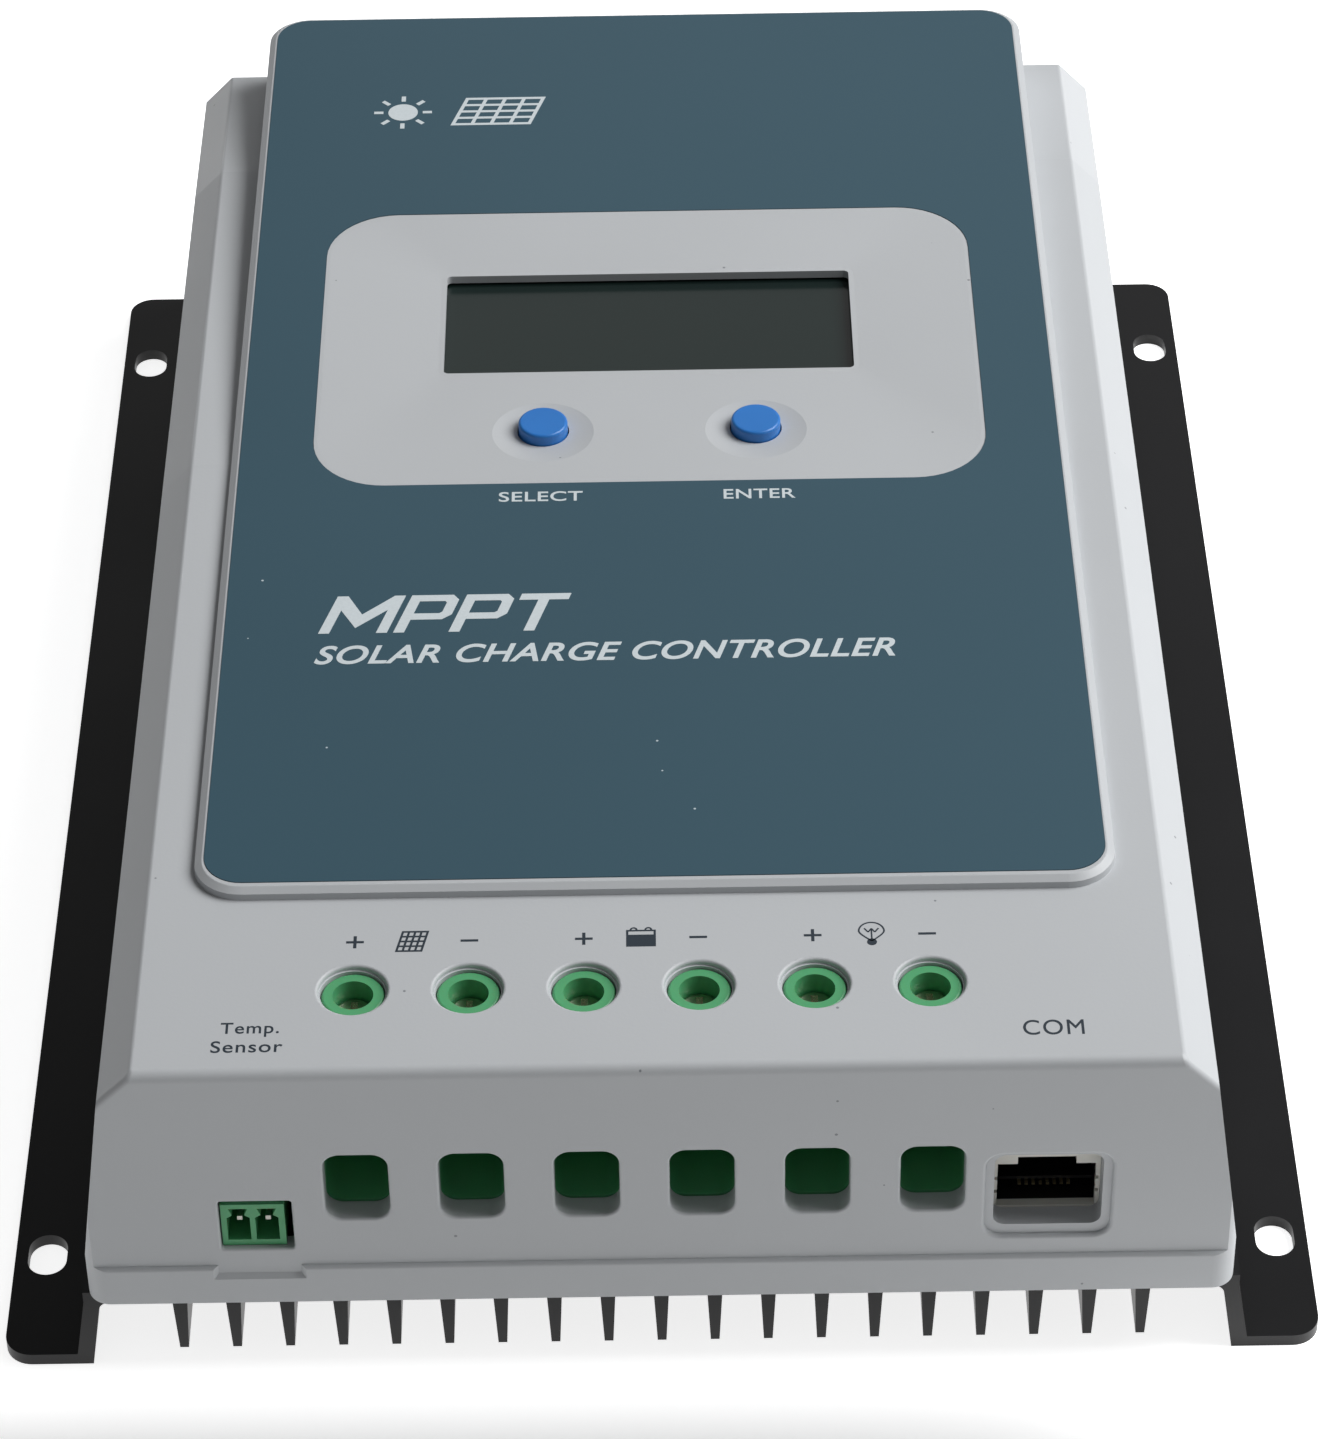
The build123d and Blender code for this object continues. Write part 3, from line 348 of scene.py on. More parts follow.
def board_laminate(name, colour, copper_colour):
    """Glass epoxy board under green solder mask: paler copper areas show through as blocky patches."""
    material, tree = start_material(name)
    place = add(tree, "ShaderNodeTexCoord").outputs["Object"]
    pours = add(tree, "ShaderNodeTexVoronoi", {"Scale": per(7.0)}, {"Vector": place}, distance="CHEBYCHEV")
    edge = add(
        tree, "ShaderNodeMapRange", {"From Min": 0.30, "From Max": 0.33},
        {"Value": pours.outputs["Distance"]},
    )
    tint = add(
        tree, "ShaderNodeMix", {6: copper_colour, 7: colour}, {0: edge.outputs[0]}, data_type="RGBA",
    )
    bump = add(
        tree, "ShaderNodeBump", {"Strength": 0.4, "Distance": 0.035 * MM}, {"Height": edge.outputs[0]},
    )
    shader = add(
        tree, "ShaderNodeBsdfPrincipled", {"Roughness": 0.32, "IOR": 1.52},
        {"Base Color": tint.outputs[2], "Normal": bump.outputs["Normal"]},
    )
    add(tree, "ShaderNodeOutputMaterial", links={"Surface": shader.outputs["BSDF"]})
    return material


def paper_with_painted_glow(name, colour, glow, half_width, half_length, fade):
    """Matt paper with faint fibre grain that glows under and beside the unit: painted light that lights the
    unit from below, keeps the floor there free of shade and leaves no hard shadow.
    """
    material, tree = start_material(name)
    place = add(tree, "ShaderNodeTexCoord").outputs["Object"]
    # Paper fibres are really about 0.03 mm thick, and are drawn coarser so that they show.
    fibre = add(tree, "ShaderNodeTexNoise", {"Scale": per(1.5), "Detail": 3.0}, {"Vector": place})
    tint = add(tree, "ShaderNodeValToRGB", links={"Fac": fibre.outputs["Fac"]})
    tint.color_ramp.elements[0].color = [c * 0.99 for c in colour[:3]] + [1.0]
    tint.color_ramp.elements[1].color = colour
    # The paper's glow is painted light: at full strength under and beside the unit it keeps the floor there
    # free of shade, between the fins too. The glow fades out past the unit's sides and past its front end,
    # so its front face stays dim.
    axes = add(tree, "ShaderNodeSeparateXYZ", links={"Vector": place})
    side = add(tree, "ShaderNodeMath", None, {0: axes.outputs["X"]}, operation="ABSOLUTE")
    past_side = add(
        tree, "ShaderNodeMath", {1: half_width}, {0: side.outputs[0]}, operation="SUBTRACT",
    )
    past_end = add(
        tree, "ShaderNodeMath", {0: -half_length}, {1: axes.outputs["Y"]}, operation="SUBTRACT",
    )
    past = add(
        tree, "ShaderNodeMath", None, {0: past_side.outputs[0], 1: past_end.outputs[0]},
        operation="MAXIMUM",
    )
    painted_glow_strength = add(
        tree, "ShaderNodeMapRange",
        {"From Min": 0.0, "From Max": fade, "To Min": glow, "To Max": 0.12 * glow},
        {"Value": past.outputs[0]}, interpolation_type="SMOOTHSTEP",
    )
    shader = add(
        tree, "ShaderNodeBsdfPrincipled", {"Roughness": 0.9, "Emission Color": colour},
        {"Base Color": tint.outputs["Color"], "Emission Strength": painted_glow_strength.outputs[0]},
    )
    add(tree, "ShaderNodeOutputMaterial", links={"Surface": shader.outputs["BSDF"]})
    return material


# Shapes of the printed marks ------------------------------------------------------------------

def add_bar(work, x, y, width, height, z, thick):
    """A flat rectangular stroke centred on x, y."""
    place = Matrix.Translation((x, y, z + thick / 2)) @ Matrix.Diagonal((width, height, thick, 1.0))
    bmesh.ops.create_cube(work, size=1.0, matrix=place)


def add_stroke(work, start, end, width, z, thick):
    """A flat straight stroke from one point to another."""
    start, end = Vector(start), Vector(end)
    middle, reach = (start + end) / 2, end - start
    turn = Matrix.Rotation(Vector((1.0, 0.0)).angle_signed(reach) * -1.0, 4, "Z")
    size = Matrix.Diagonal((reach.length, width, thick, 1.0))
    place = Matrix.Translation((*middle, z + thick / 2)) @ turn @ size
    bmesh.ops.create_cube(work, size=1.0, matrix=place)


def raise_faces(work, faces, thick):
    """Gives flat faces their ink thickness."""
    lifted = bmesh.ops.extrude_face_region(work, geom=faces)["geom"]
    corners = [part for part in lifted if isinstance(part, bmesh.types.BMVert)]
    bmesh.ops.translate(work, verts=corners, vec=(0.0, 0.0, thick))


def add_slab(work, x, y, corners, z, thick):
    """A flat leaning shape with the given outline, clockwise from its lower left corner."""
    slab = bmesh.new()
    face = slab.faces.new([slab.verts.new((x + across + LEAN * up, y + up, z)) for across, up in corners])
    raise_faces(slab, [face], thick)
    join_into(work, slab)


def add_ring(work, x, y, radius, stroke, z, thick, upper_half=False):
    """A flat ring, or the upper half of one."""
    ring = bmesh.new()
    bmesh.ops.create_circle(
        ring, cap_ends=True, segments=40, radius=radius, matrix=Matrix.Translation((x, y, z)),
    )
    inner = list(ring.faces)
    bmesh.ops.inset_region(ring, faces=inner, thickness=stroke, use_boundary=True, use_even_offset=True)
    bmesh.ops.delete(ring, geom=inner, context="FACES")
    if upper_half:
        bmesh.ops.bisect_plane(
            ring, geom=ring.verts[:] + ring.edges[:] + ring.faces[:], plane_co=(x, y, z),
            plane_no=(0.0, -1.0, 0.0), clear_outer=True,
        )
    raise_faces(ring, ring.faces[:], thick)
    join_into(work, ring)


def join_into(work, other):
    """Moves a finished bmesh into another."""
    carrier = bpy.data.meshes.new("carrier")
    other.to_mesh(carrier)
    other.free()
    work.from_mesh(carrier)
    bpy.data.meshes.remove(carrier)


def add_words(work, words, left, right, base, height, z, thick, spacing, slant=0.0, weight=0.0):
    """Sets words in the built-in typeface, stretched to run from left to right at that capital height."""
    text = bpy.data.curves.new("words", "FONT")
    text.body = words
    text.shear = slant
    text.offset = weight
    text.space_character = spacing
    text.extrude = 0.5
    carrier = bpy.data.objects.new("words", text)
    bpy.context.scene.collection.objects.link(carrier)
    bpy.context.view_layer.update()
    mesh = bpy.data.meshes.new_from_object(carrier.evaluated_get(bpy.context.evaluated_depsgraph_get()))
    bpy.data.objects.remove(carrier)
    bpy.data.curves.remove(text)
    xs = [v.co.x for v in mesh.vertices]
    stretch = (right - left) / (max(xs) - min(xs))
    mesh.transform(
        Matrix.Translation((left, base, z + thick / 2))
        @ Matrix.Diagonal((stretch, height / CAPITAL_HEIGHT, thick, 1.0))
        @ Matrix.Translation((-min(xs), 0.0, 0.0))
    )
    letters = bmesh.new()
    letters.from_mesh(mesh)
    bpy.data.meshes.remove(mesh)
    bmesh.ops.remove_doubles(letters, verts=letters.verts, dist=0.002 * MM)
    join_into(work, letters)


def add_panel_grid(work, x, y, width, height, slant, cells, stroke, z, thick):
    """A slanted solar panel pictogram: open square cells, then an outline that thickens the frame."""
    lean = Matrix(((1.0, slant, 0.0, x), (0.0, 1.0, 0.0, y), (0.0, 0.0, 1.0, z), (0.0, 0.0, 0.0, 1.0)))
    for divisions, trim in ((cells, stroke), (1, 0.0)):
        grid = bmesh.new()
        bmesh.ops.create_grid(grid, x_segments=divisions, y_segments=divisions, size=0.5)
        size = Matrix.Diagonal((width - trim, height - trim, 1.0, 1.0))
        bmesh.ops.transform(grid, verts=grid.verts, matrix=size)
        inner = list(grid.faces)
        if divisions > 1:
            bmesh.ops.inset_individual(grid, faces=inner, thickness=stroke / 2, use_even_offset=True)
        else:
            bmesh.ops.inset_region(
                grid, faces=inner, thickness=stroke / 2, use_boundary=True, use_even_offset=True,
            )
        bmesh.ops.delete(grid, geom=inner, context="FACES")
        bmesh.ops.remove_doubles(grid, verts=grid.verts, dist=0.001 * MM)
        bmesh.ops.transform(grid, verts=grid.verts, matrix=lean)
        raise_faces(grid, grid.faces[:], thick)
        join_into(work, grid)


# Settings -----------------------------------------------------------------------------------

class HousingSettings(bpy.types.PropertyGroup):
    shell_colour: bpy.props.FloatVectorProperty(
        name="Shell colour", description="Light grey of the moulded cover", subtype="COLOR", size=4,
        min=0.0, max=1.0, default=linear("#bfc2c5"))
    shell_grain: bpy.props.FloatProperty(
        name="Shell grain", description="Size of the mould's spark texture, in millimetres",
        default=0.55, min=0.05)
    shell_roughness: bpy.props.FloatProperty(
        name="Shell roughness", description="Blur of the cover's highlights", subtype="FACTOR",
        default=0.46, min=0.0, max=1.0)
    film_colour: bpy.props.FloatVectorProperty(
        name="Film colour", description="Blue-grey of the front label film", subtype="COLOR", size=4,
        min=0.0, max=1.0, default=linear("#355462"))
    dark_dust: bpy.props.FloatVectorProperty(
        name="Dark dust", description="Specks on the pale cover", subtype="COLOR", size=4,
        min=0.0, max=1.0, default=linear("#6b7075"))
    pale_dust: bpy.props.FloatVectorProperty(
        name="Pale dust", description="Specks on the dark film", subtype="COLOR", size=4,
        min=0.0, max=1.0, default=linear("#b9c6cc"))


class HeatsinkSettings(bpy.types.PropertyGroup):
    anodised_colour: bpy.props.FloatVectorProperty(
        name="Anodised colour", description="Black dye of the extrusion", subtype="COLOR", size=4,
        min=0.0, max=1.0, default=linear("#0e0e10"))


class ControlSettings(bpy.types.PropertyGroup):
    button_colour: bpy.props.FloatVectorProperty(
        name="Button colour", description="Blue of both push buttons", subtype="COLOR", size=4,
        min=0.0, max=1.0, default=linear("#2a78c8"))
    display_colour: bpy.props.FloatVectorProperty(
        name="Display colour", description="Grey-green of the unlit display", subtype="COLOR", size=4,
        min=0.0, max=1.0, default=linear("#182523"))


class TerminalSettings(bpy.types.PropertyGroup):
    terminal_colour: bpy.props.FloatVectorProperty(
        name="Terminal colour", description="Green polyamide of the clamp terminals", subtype="COLOR",
        size=4, min=0.0, max=1.0, default=linear("#55a772"))
    screw_colour: bpy.props.FloatVectorProperty(
        name="Screw colour", description="Nickel plate of the clamp screws and cages", subtype="COLOR",
        size=4, min=0.0, max=1.0, default=linear("#e0d9ca"))


class MarkSettings(bpy.types.PropertyGroup):
    ink_thickness: bpy.props.FloatProperty(
        name="Ink thickness", description="Height of the printed layer", subtype="DISTANCE", unit="LENGTH",
        default=0.03 * MM, min=0.005 * MM)
    slate_ink: bpy.props.FloatVectorProperty(
        name="Slate ink", description="Dark ink on the cover", subtype="COLOR", size=4,
        min=0.0, max=1.0, default=linear("#27333e"))
    white_ink: bpy.props.FloatVectorProperty(
        name="White ink", description="Pale ink on the label film", subtype="COLOR", size=4,
        min=0.0, max=1.0, default=linear("#d3dce0"))
    sign_size: bpy.props.FloatProperty(
        name="Sign size", description="Width of each plus and minus sign", subtype="DISTANCE",
        unit="LENGTH", default=2.35 * MM, min=0.5 * MM)


class StageSettings(bpy.types.PropertyGroup):
    camera_place: bpy.props.FloatVectorProperty(
        name="Camera place", description="Where the camera stands", subtype="TRANSLATION", unit="LENGTH",
        default=(0.00217, -0.59366, 0.51149))
    camera_turn: bpy.props.FloatVectorProperty(
        name="Camera turn", description="How the camera is turned", subtype="EULER",
        default=(radians(49.755), radians(0.726), radians(-0.518)))
    lens: bpy.props.FloatProperty(
        name="Lens", description="Focal length in millimetres", default=126.0, min=10.0)
    floor_colour: bpy.props.FloatVectorProperty(
        name="Floor colour", description="Pale paper under the unit", subtype="COLOR", size=4,
        min=0.0, max=1.0, default=linear("#fbfbfb"))
    floor_size: bpy.props.FloatProperty(
        name="Floor size", description="Side of the square floor", subtype="DISTANCE", unit="LENGTH",
        default=6.0, min=0.5)
    # The next three settings set the floor's painted glow: the paper emits under and beside the unit so no
    # shade shows there, and lights the unit from below.
    painted_floor_glow: bpy.props.FloatProperty(
        name="Table glow", description="Light that comes up through the paper under the unit",
        default=0.85, min=0.0)
    painted_glow_fade: bpy.props.FloatProperty(
        name="Table fade", description="Width over which the glow dies away round the unit",
        subtype="DISTANCE", unit="LENGTH", default=0.02, min=0.001)
    painted_glow_margin: bpy.props.FloatProperty(
        name="Table margin", description="How far the glow goes out beside the unit", subtype="DISTANCE",
        unit="LENGTH", default=0.12, min=0.0)
    sky_strength: bpy.props.FloatProperty(
        name="Sky strength", description="Even light from all round", default=0.13, min=0.0)
    key_power: bpy.props.FloatProperty(
        name="Key power", description="Watts of the large soft lamp overhead", default=28.8, min=0.0)
    back_power: bpy.props.FloatProperty(
        name="Back power", description="Watts of the low soft lamp behind", default=0.9, min=0.0)


SETTINGS = {
    "housing_look": HousingSettings,
    "heatsink_look": HeatsinkSettings,
    "control_look": ControlSettings,
    "terminal_look": TerminalSettings,
    "mark_look": MarkSettings,
    "stage_look": StageSettings,
}


# Operators ------------------------------------------------------------------------------------

class CONTROLLER_OT_finish_heatsink(bpy.types.Operator):
    """Finishes the finned extrusion and the screws that hold the cover to it"""
    bl_idname = "controller.finish_heatsink"
    bl_label = "Finish heatsink"

    def execute(self, context):
        look = context.scene.heatsink_look
        coat(anodised_extrusion("black_anodised_aluminium", list(look.anodised_colour)), "heatsink")
        coat(
            plated_metal("zinc_plated_steel", linear("#b9bcc0"), 0.35),
            "cover_screws", "clamp_screws", "mosfet_clamp", "board_screws", "display_board_screws",
        )
        return {"FINISHED"}


class CONTROLLER_OT_finish_housing(bpy.types.Operator):
    """Finishes the moulded cover and the label film in its front pocket"""
    bl_idname = "controller.finish_housing"
    bl_label = "Finish housing"

    def execute(self, context):
        look = context.scene.housing_look
        shell = moulded_abs(
            "light_grey_moulded_abs", list(look.shell_colour), look.shell_grain, look.shell_roughness,
            list(look.dark_dust),
        )
        coat(shell, "cover")
        film = printed_film("blue_grey_printed_film", list(look.film_colour), list(look.pale_dust))
        coat(film, "front_label")
        return {"FINISHED"}


class CONTROLLER_OT_finish_controls(bpy.types.Operator):
    """Finishes the display glass, the push buttons and the parts behind them"""
    bl_idname = "controller.finish_controls"
    bl_label = "Finish display and buttons"

    def execute(self, context):
        look = context.scene.control_look
        coat(display_glass("liquid_crystal_glass", list(look.display_colour)), "lcd_glass")
        coat(
            moulded_plastic("blue_moulded_abs", list(look.button_colour), 0.36, grain_mm=0.6, scatter=0.05),
            "select_button", "enter_button",
        )
        coat(
            moulded_plastic("white_moulded_nylon", linear("#e6e5df"), 0.5),
            "lcd_backlight", "display_header", "main_header",
        )
        coat(
            moulded_plastic("black_moulded_nylon", linear("#141414"), 0.5),
            "select_switch", "enter_switch", "select_switch_stem", "enter_switch_stem",
        )
        return {"FINISHED"}


class CONTROLLER_OT_finish_terminals(bpy.types.Operator):
    """Finishes the six clamp terminals with their screws, cages and bars"""
    bl_idname = "controller.finish_terminals"
    bl_label = "Finish terminals"

    def execute(self, context):
        look = context.scene.terminal_look
        green = moulded_plastic(
            "green_moulded_polyamide", list(look.terminal_colour), 0.38,
            grain_mm=0.7, ior=1.53, scatter=0.15,
        )
        nickel = plated_metal("nickel_plated_steel", list(look.screw_colour), 0.22, streak_mm=0.25)
        coat(green, "temp_header", *(name + "_terminal" for name in TERMINALS))
        coat(nickel, *(name + part for name in TERMINALS for part in ("_screw", "_cage")))
        coat(
            plated_metal("tinned_copper", linear("#d3d0c8"), 0.3),
            "contact_bars", "temp_pins", "shunt_resistors",
        )
        return {"FINISHED"}


class CONTROLLER_OT_finish_data_socket(bpy.types.Operator):
    """Finishes the data socket and its contacts"""
    bl_idname = "controller.finish_data_socket"
    bl_label = "Finish data socket"

    def execute(self, context):
        coat(
            moulded_plastic("black_glass_filled_polyester", linear("#0f0f10"), 0.42, grain_mm=0.4),
            "com_jack",
        )
        coat(
            moulded_plastic("ivory_moulded_polyester", linear("#d6d5cd"), 0.4, grain_mm=0.5, scatter=0.05),
            "com_bezel",
        )
        coat(plated_metal("gold_plated_bronze", linear("#d8c9a0"), 0.28), "com_contacts")
        return {"FINISHED"}


class CONTROLLER_OT_finish_electronics(bpy.types.Operator):
    """Finishes the boards and the parts mounted on them"""
    bl_idname = "controller.finish_electronics"
    bl_label = "Finish electronics"

    def execute(self, context):
        coat(
            board_laminate("green_board_laminate", linear("#12402a"), linear("#2c6a3c")),
            "main_board", "display_board",
        )
        coat(plated_metal("turned_brass", linear("#c8a45e"), 0.3), "board_standoffs")
        coat(moulded_plastic("grey_ribbon_pvc", linear("#8e9094"), 0.5, grain_mm=1.2), "ribbon_cable")
        coat(moulded_plastic("coated_iron_powder", linear("#2b4a3e"), 0.55, grain_mm=0.8), "inductor_core")
        coat(
            plated_metal("enamelled_copper_wire", linear("#b4622e"), 0.26, streak_mm=0.8),
            "inductor_winding",
        )
        coat(moulded_plastic("black_shrink_sleeve", linear("#15161b"), 0.3, grain_mm=1.5), "capacitors")
        coat(
            moulded_plastic("black_epoxy_package", linear("#121212"), 0.6, grain_mm=0.3),
            "mosfets", "control_chip", "driver_chips",
        )
        coat(moulded_plastic("grey_silicone_rubber", linear("#9da1a3"), 0.75, grain_mm=0.6), "thermal_pad")
        coat(moulded_plastic("red_dipped_epoxy", linear("#9c1e16"), 0.25, grain_mm=1.5), "film_capacitors")
        return {"FINISHED"}


class CONTROLLER_OT_print_terminal_marks(bpy.types.Operator):
    """Prints the signs, pictograms and plain words above the terminals and sockets"""
    bl_idname = "controller.print_terminal_marks"
    bl_label = "Print terminal marks"

    def execute(self, context):
        look = context.scene.mark_look
        thick = look.ink_thickness
        deck = DECK_LEVEL
        row = SIGN_ROW
        stroke = 0.42 * MM
        work = bmesh.new()
        for name in TERMINALS:
            low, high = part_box(name + "_screw")
            x = (low.x + high.x) / 2
            add_bar(work, x, row, look.sign_size, stroke, deck, thick)
            if name.endswith("plus"):
                arm = (look.sign_size - stroke) / 2
                for side in (-1, 1):
                    add_bar(work, x, row + side * (stroke + arm) / 2, stroke, arm, deck, thick)
        self.add_battery(work, -1.93 * MM, -102.08 * MM, deck, thick)
        self.add_lamp(work, 28.78 * MM, -99.75 * MM, deck, thick)
        add_panel_grid(
            work, -32.42 * MM, row, 3.62 * MM, 4.05 * MM,
            slant=0.21, cells=4, stroke=0.3 * MM, z=deck, thick=thick,
        )
        add_words(
            work, "Temp.", -57.0 * MM, -49.35 * MM, -117.6 * MM, 2.15 * MM, deck, thick,
            weight=0.006, spacing=1.1,
        )
        add_words(
            work, "Sensor", -58.1 * MM, -48.75 * MM, -121.15 * MM, 2.25 * MM, deck, thick,
            weight=0.006, spacing=1.1,
        )
        add_words(work, "COM", 47.8 * MM, 55.75 * MM, -120.1 * MM, 2.9 * MM, deck, thick, spacing=1.1)
        ink = screen_ink("slate_screen_ink", list(look.slate_ink))
        keep_piece("terminal_marks", work, ink)
        return {"FINISHED"}

    def add_battery(self, work, x, y, z, thick):
        """A car battery pictogram: filled case, open top band and two handles."""
        width, fill, height, wall = 3.95 * MM, 2.3 * MM, 3.25 * MM, 0.28 * MM
        add_bar(work, x, y + fill / 2, width, fill, z, thick)
        for side in (-1, 1):
            add_bar(
                work, x + side * (width - wall) / 2, y + (fill + height - wall) / 2,
                wall, height - wall - fill, z, thick,
            )
            add_ring(
                work, x + side * 0.98 * MM, y + height, 0.52 * MM, 0.24 * MM, z, thick, upper_half=True,
            )
        add_bar(work, x, y + height - wall / 2, width, wall, z, thick)

    def add_lamp(self, work, x, y, z, thick):
        """A bulb pictogram: tapering outline, round cap and zigzag filament."""
        bulb = bmesh.new()
        radius = 1.8 * MM
        bmesh.ops.create_circle(bulb, cap_ends=True, segments=48, radius=radius)
        for corner in bulb.verts:
            drop = max(0.0, -corner.co.y / radius)
            corner.co.x *= 1.0 - 0.62 * drop ** 1.6
            corner.co.y *= 1.0 + 0.1 * drop
        inner = list(bulb.faces)
        bmesh.ops.inset_region(
            bulb, faces=inner, thickness=0.22 * MM, use_boundary=True, use_even_offset=True,
        )
        bmesh.ops.delete(bulb, geom=inner, context="FACES")
        bmesh.ops.translate(bulb, verts=bulb.verts, vec=(x, y, z))
        raise_faces(bulb, bulb.faces[:], thick)
        join_into(work, bulb)
        cap = bmesh.new()
        bmesh.ops.create_circle(
            cap, cap_ends=True, segments=24, radius=0.66 * MM,
            matrix=Matrix.Translation((x, y - 2.12 * MM, z)),
        )
        raise_faces(cap, cap.faces[:], thick)
        join_into(work, cap)
        points = [(-0.95, 0.55), (-0.45, -0.2), (0.0, 0.5), (0.45, -0.2), (0.95, 0.55)]
        for start, end in zip(points, points[1:]):
            add_stroke(
                work, (x + start[0] * MM, y + start[1] * MM), (x + end[0] * MM, y + end[1] * MM),
                0.2 * MM, z, thick,
            )
        add_bar(work, x, y - 0.65 * MM, 0.2 * MM, 1.9 * MM, z, thick)


class CONTROLLER_OT_print_label_marks(bpy.types.Operator):
    """Prints the plain words and the sun pictogram on the label film"""
    bl_idname = "controller.print_label_marks"
    bl_label = "Print label marks"

    def execute(self, context):
        look = context.scene.mark_look
        thick = look.ink_thickness
        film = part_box("front_label")[1].z
        work = bmesh.new()
        add_words(
            work, "SELECT", -22.3 * MM, -9.95 * MM, -7.3 * MM, 2.35 * MM, film, thick,
            weight=0.012, spacing=1.05,
        )
        add_words(
            work, "ENTER", 10.8 * MM, 21.35 * MM, -7.4 * MM, 2.35 * MM, film, thick,
            weight=0.012, spacing=1.05,
        )
        self.add_title(work, -47.6 * MM, -37.4 * MM, 8.4 * MM, film, thick)
        add_words(
            work, "SOLAR CHARGE CONTROLLER", -47.9 * MM, 34.5 * MM, -44.15 * MM, 4.1 * MM, film, thick,
            slant=LEAN, weight=0.018, spacing=1.05,
        )
        self.add_sun(work, -39.5 * MM, LABEL_ICON_ROW, film, thick)
        add_panel_grid(
            work, -24.0 * MM, LABEL_ICON_ROW, 13.0 * MM, 8.0 * MM,
            slant=LEAN, cells=4, stroke=0.6 * MM, z=film, thick=thick,
        )
        ink = screen_ink("white_screen_ink", list(look.white_ink))
        keep_piece("label_marks", work, ink)
        return {"FINISHED"}

    def add_title(self, work, x, y, height, z, thick):
        """The four leaning capitals M, P, P and T, in plain bold strokes."""
        stem, bar, cut = 1.55 * MM, 1.4 * MM, 1.1 * MM
        width = 9.8 * MM
        middle, waist = width / 2, 0.34 * height
        add_slab(work, x, y, [
            (0.0, 0.0), (0.0, height), (stem, height), (middle, 0.5 * height), (width - stem, height),
            (width, height), (width, 0.0), (width - stem, 0.0), (width - stem, 0.62 * height),
            (middle, 0.14 * height), (stem, 0.62 * height), (stem, 0.0)], z, thick)
        x += width + 0.9 * MM
        width = 7.1 * MM
        inner = width - stem
        for _ in range(2):
            add_slab(work, x, y, [(0.0, 0.0), (0.0, height), (stem, height), (stem, 0.0)], z, thick)
            add_slab(work, x, y, [
                (stem, height), (width - cut, height), (width, height - cut), (width, waist + cut),
                (width - cut, waist), (stem, waist), (stem, waist + bar), (inner - 0.3 * cut, waist + bar),
                (inner, waist + bar + 0.3 * cut), (inner, height - bar - 0.3 * cut),
                (inner - 0.3 * cut, height - bar), (stem, height - bar)], z, thick)
            x += width + 0.8 * MM
        left, right = (width - stem) / 2, (width + stem) / 2
        add_slab(work, x, y, [
            (0.0, height), (width, height), (width, height - bar), (right, height - bar), (right, 0.0),
            (left, 0.0), (left, height - bar), (0.0, height - bar)], z, thick)

    def add_sun(self, work, x, y, z, thick):
        """A plain sun pictogram: disc and eight short rays."""
        disc = bmesh.new()
        bmesh.ops.create_circle(
            disc, cap_ends=True, segments=48, radius=2.4 * MM, matrix=Matrix.Translation((x, y, z)),
        )
        raise_faces(disc, disc.faces[:], thick)
        join_into(work, disc)
        for ray in range(8):
            way = Vector((cos(ray * pi / 4), sin(ray * pi / 4)))
            centre = Vector((x, y))
            add_stroke(work, centre + way * 3.2 * MM, centre + way * 4.7 * MM, 0.7 * MM, z, thick)


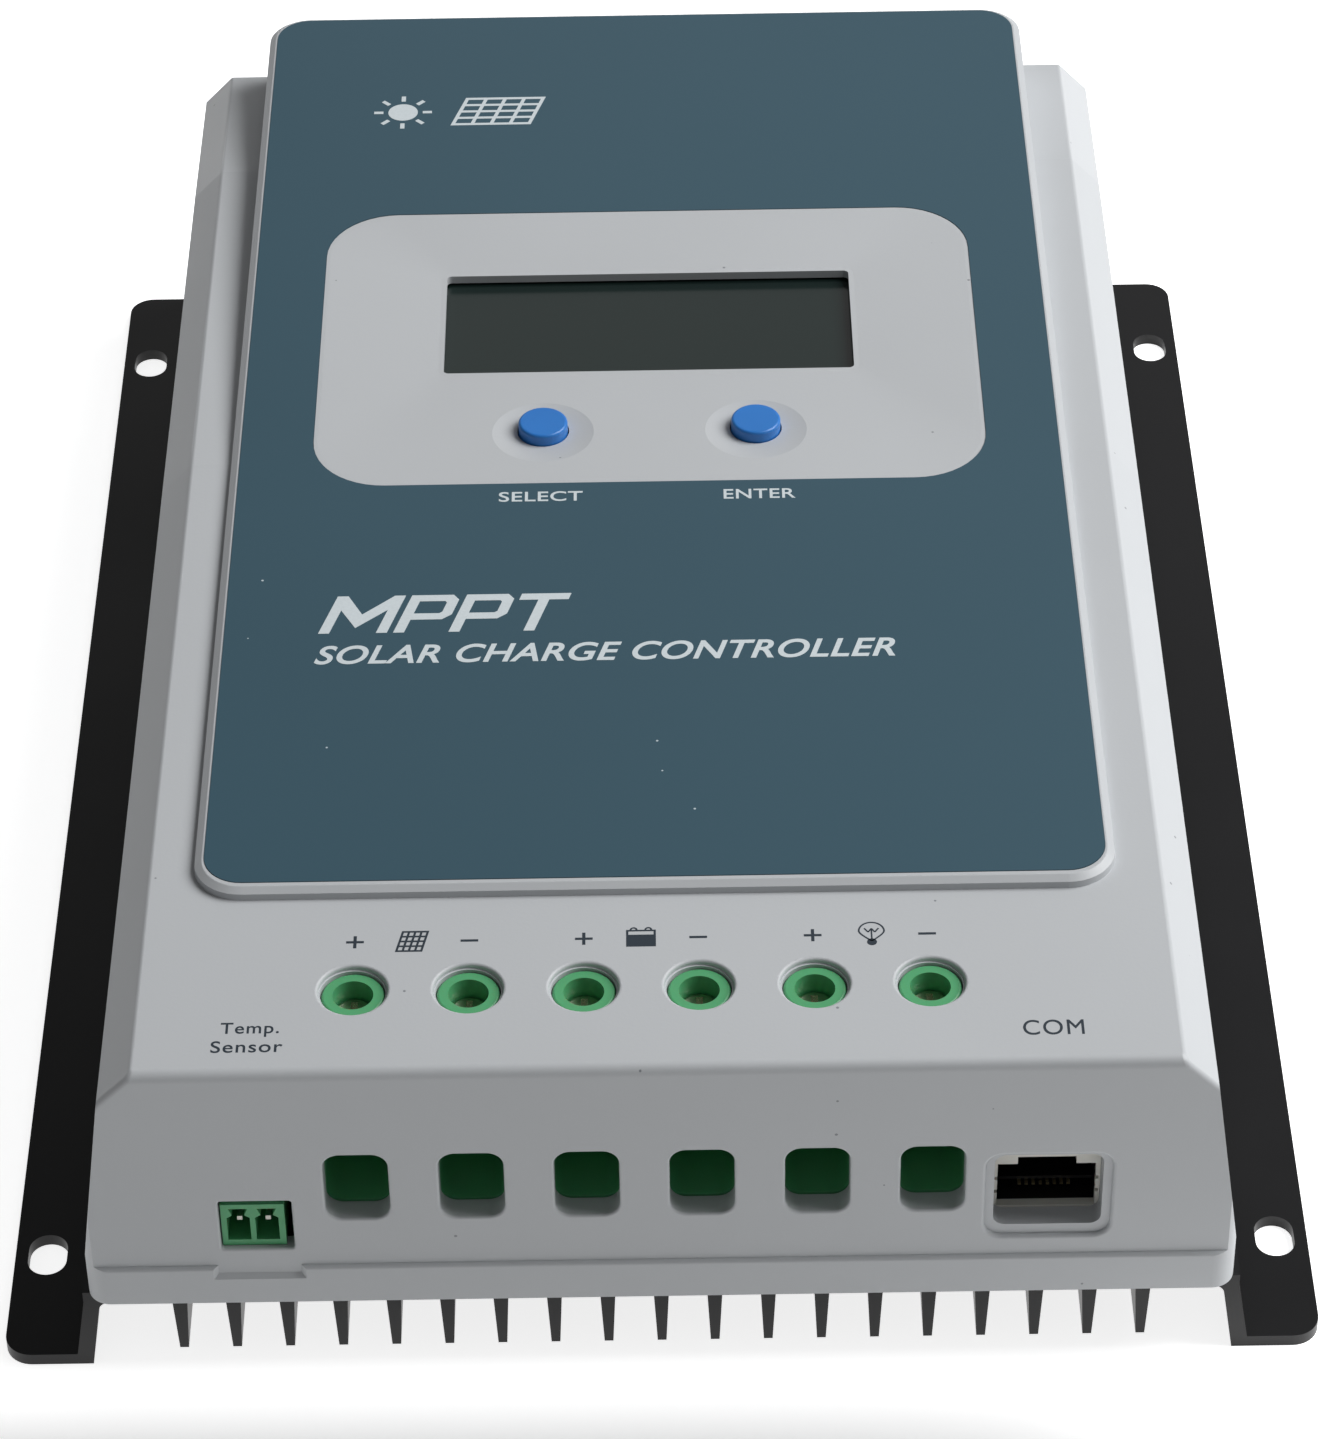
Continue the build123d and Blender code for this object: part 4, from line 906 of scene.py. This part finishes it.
class CONTROLLER_OT_set_stage(bpy.types.Operator):
    """Lays the pale floor and sets the soft lamps and the camera"""
    bl_idname = "controller.set_stage"
    bl_label = "Set stage"

    def execute(self, context):
        look = context.scene.stage_look
        self.lay_floor(look)
        self.light(context.scene, look)
        camera = bpy.data.cameras.new("camera")
        camera.lens = look.lens
        camera.sensor_width = 36.0
        camera.clip_start = 0.01
        stand = bpy.data.objects.new("camera", camera)
        stand.location = look.camera_place
        stand.rotation_euler = look.camera_turn
        context.scene.collection.objects.link(stand)
        context.scene.camera = stand
        context.scene.view_settings.view_transform = "Standard"
        return {"FINISHED"}

    def lay_floor(self, look):
        """A square of studio paper at the level of the flanges' undersides."""
        work = bmesh.new()
        bmesh.ops.create_grid(work, x_segments=1, y_segments=1, size=look.floor_size / 2)
        bmesh.ops.translate(work, verts=work.verts, vec=(0.0, 0.0, CAD_BOX[0][2]))
        mesh = bpy.data.meshes.new("floor")
        work.to_mesh(mesh)
        work.free()
        high = CAD_BOX[1]
        # The paper carries a painted glow that keeps the floor white under the unit and between the fins.
        paper = paper_with_painted_glow(
            "matt_paper_with_painted_glow", list(look.floor_colour), look.painted_floor_glow,
            high[0] + look.painted_glow_margin, high[1], look.painted_glow_fade,
        )
        mesh.materials.append(paper)
        floor = bpy.data.objects.new("floor", mesh)
        bpy.context.scene.collection.objects.link(floor)

    def light(self, scene, look):
        """An even sky, a large soft lamp above on the right and a weak low one behind."""
        world = bpy.data.worlds.new("studio")
        world.use_nodes = True
        world.node_tree.nodes["Background"].inputs["Color"].default_value = (1.0, 1.0, 1.0, 1.0)
        world.node_tree.nodes["Background"].inputs["Strength"].default_value = look.sky_strength
        scene.world = world
        for name, (place, size), power in (
            ("key_lamp", KEY_LAMP, look.key_power),
            ("back_lamp", BACK_LAMP, look.back_power),
        ):
            lamp = bpy.data.lights.new(name, "AREA")
            lamp.shape = "SQUARE"
            lamp.size = size
            lamp.energy = power
            stand = bpy.data.objects.new(name, lamp)
            stand.location = place
            stand.rotation_euler = (Vector(place) * -1.0).to_track_quat("-Z", "Y").to_euler()
            scene.collection.objects.link(stand)


class CONTROLLER_PT_panel(bpy.types.Panel):
    """Settings and steps of the charge controller"""
    bl_idname = "CONTROLLER_PT_panel"
    bl_label = "Charge controller"
    bl_space_type = "VIEW_3D"
    bl_region_type = "UI"
    bl_category = "Controller"

    def draw(self, context):
        for attribute, group in SETTINGS.items():
            box = self.layout.box()
            for name in group.__annotations__:
                box.prop(getattr(context.scene, attribute), name)
        for step in OPERATORS:
            self.layout.operator(step.bl_idname)


OPERATORS = [
    CONTROLLER_OT_finish_heatsink,
    CONTROLLER_OT_finish_housing,
    CONTROLLER_OT_finish_controls,
    CONTROLLER_OT_finish_terminals,
    CONTROLLER_OT_finish_data_socket,
    CONTROLLER_OT_finish_electronics,
    CONTROLLER_OT_print_terminal_marks,
    CONTROLLER_OT_print_label_marks,
    CONTROLLER_OT_set_stage,
]


def register():
    for group in SETTINGS.values():
        bpy.utils.register_class(group)
    for attribute, group in SETTINGS.items():
        setattr(bpy.types.Scene, attribute, bpy.props.PointerProperty(type=group))
    for step in OPERATORS:
        bpy.utils.register_class(step)
    bpy.utils.register_class(CONTROLLER_PT_panel)


def unregister():
    bpy.utils.unregister_class(CONTROLLER_PT_panel)
    for step in reversed(OPERATORS):
        bpy.utils.unregister_class(step)
    for attribute in SETTINGS:
        delattr(bpy.types.Scene, attribute)
    for group in reversed(SETTINGS.values()):
        bpy.utils.unregister_class(group)


def main():
    """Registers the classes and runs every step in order."""
    register()
    bpy.ops.controller.finish_heatsink()
    bpy.ops.controller.finish_housing()
    bpy.ops.controller.finish_controls()
    bpy.ops.controller.finish_terminals()
    bpy.ops.controller.finish_data_socket()
    bpy.ops.controller.finish_electronics()
    bpy.ops.controller.print_terminal_marks()
    bpy.ops.controller.print_label_marks()
    bpy.ops.controller.set_stage()


if __name__ == "__main__":
    main()
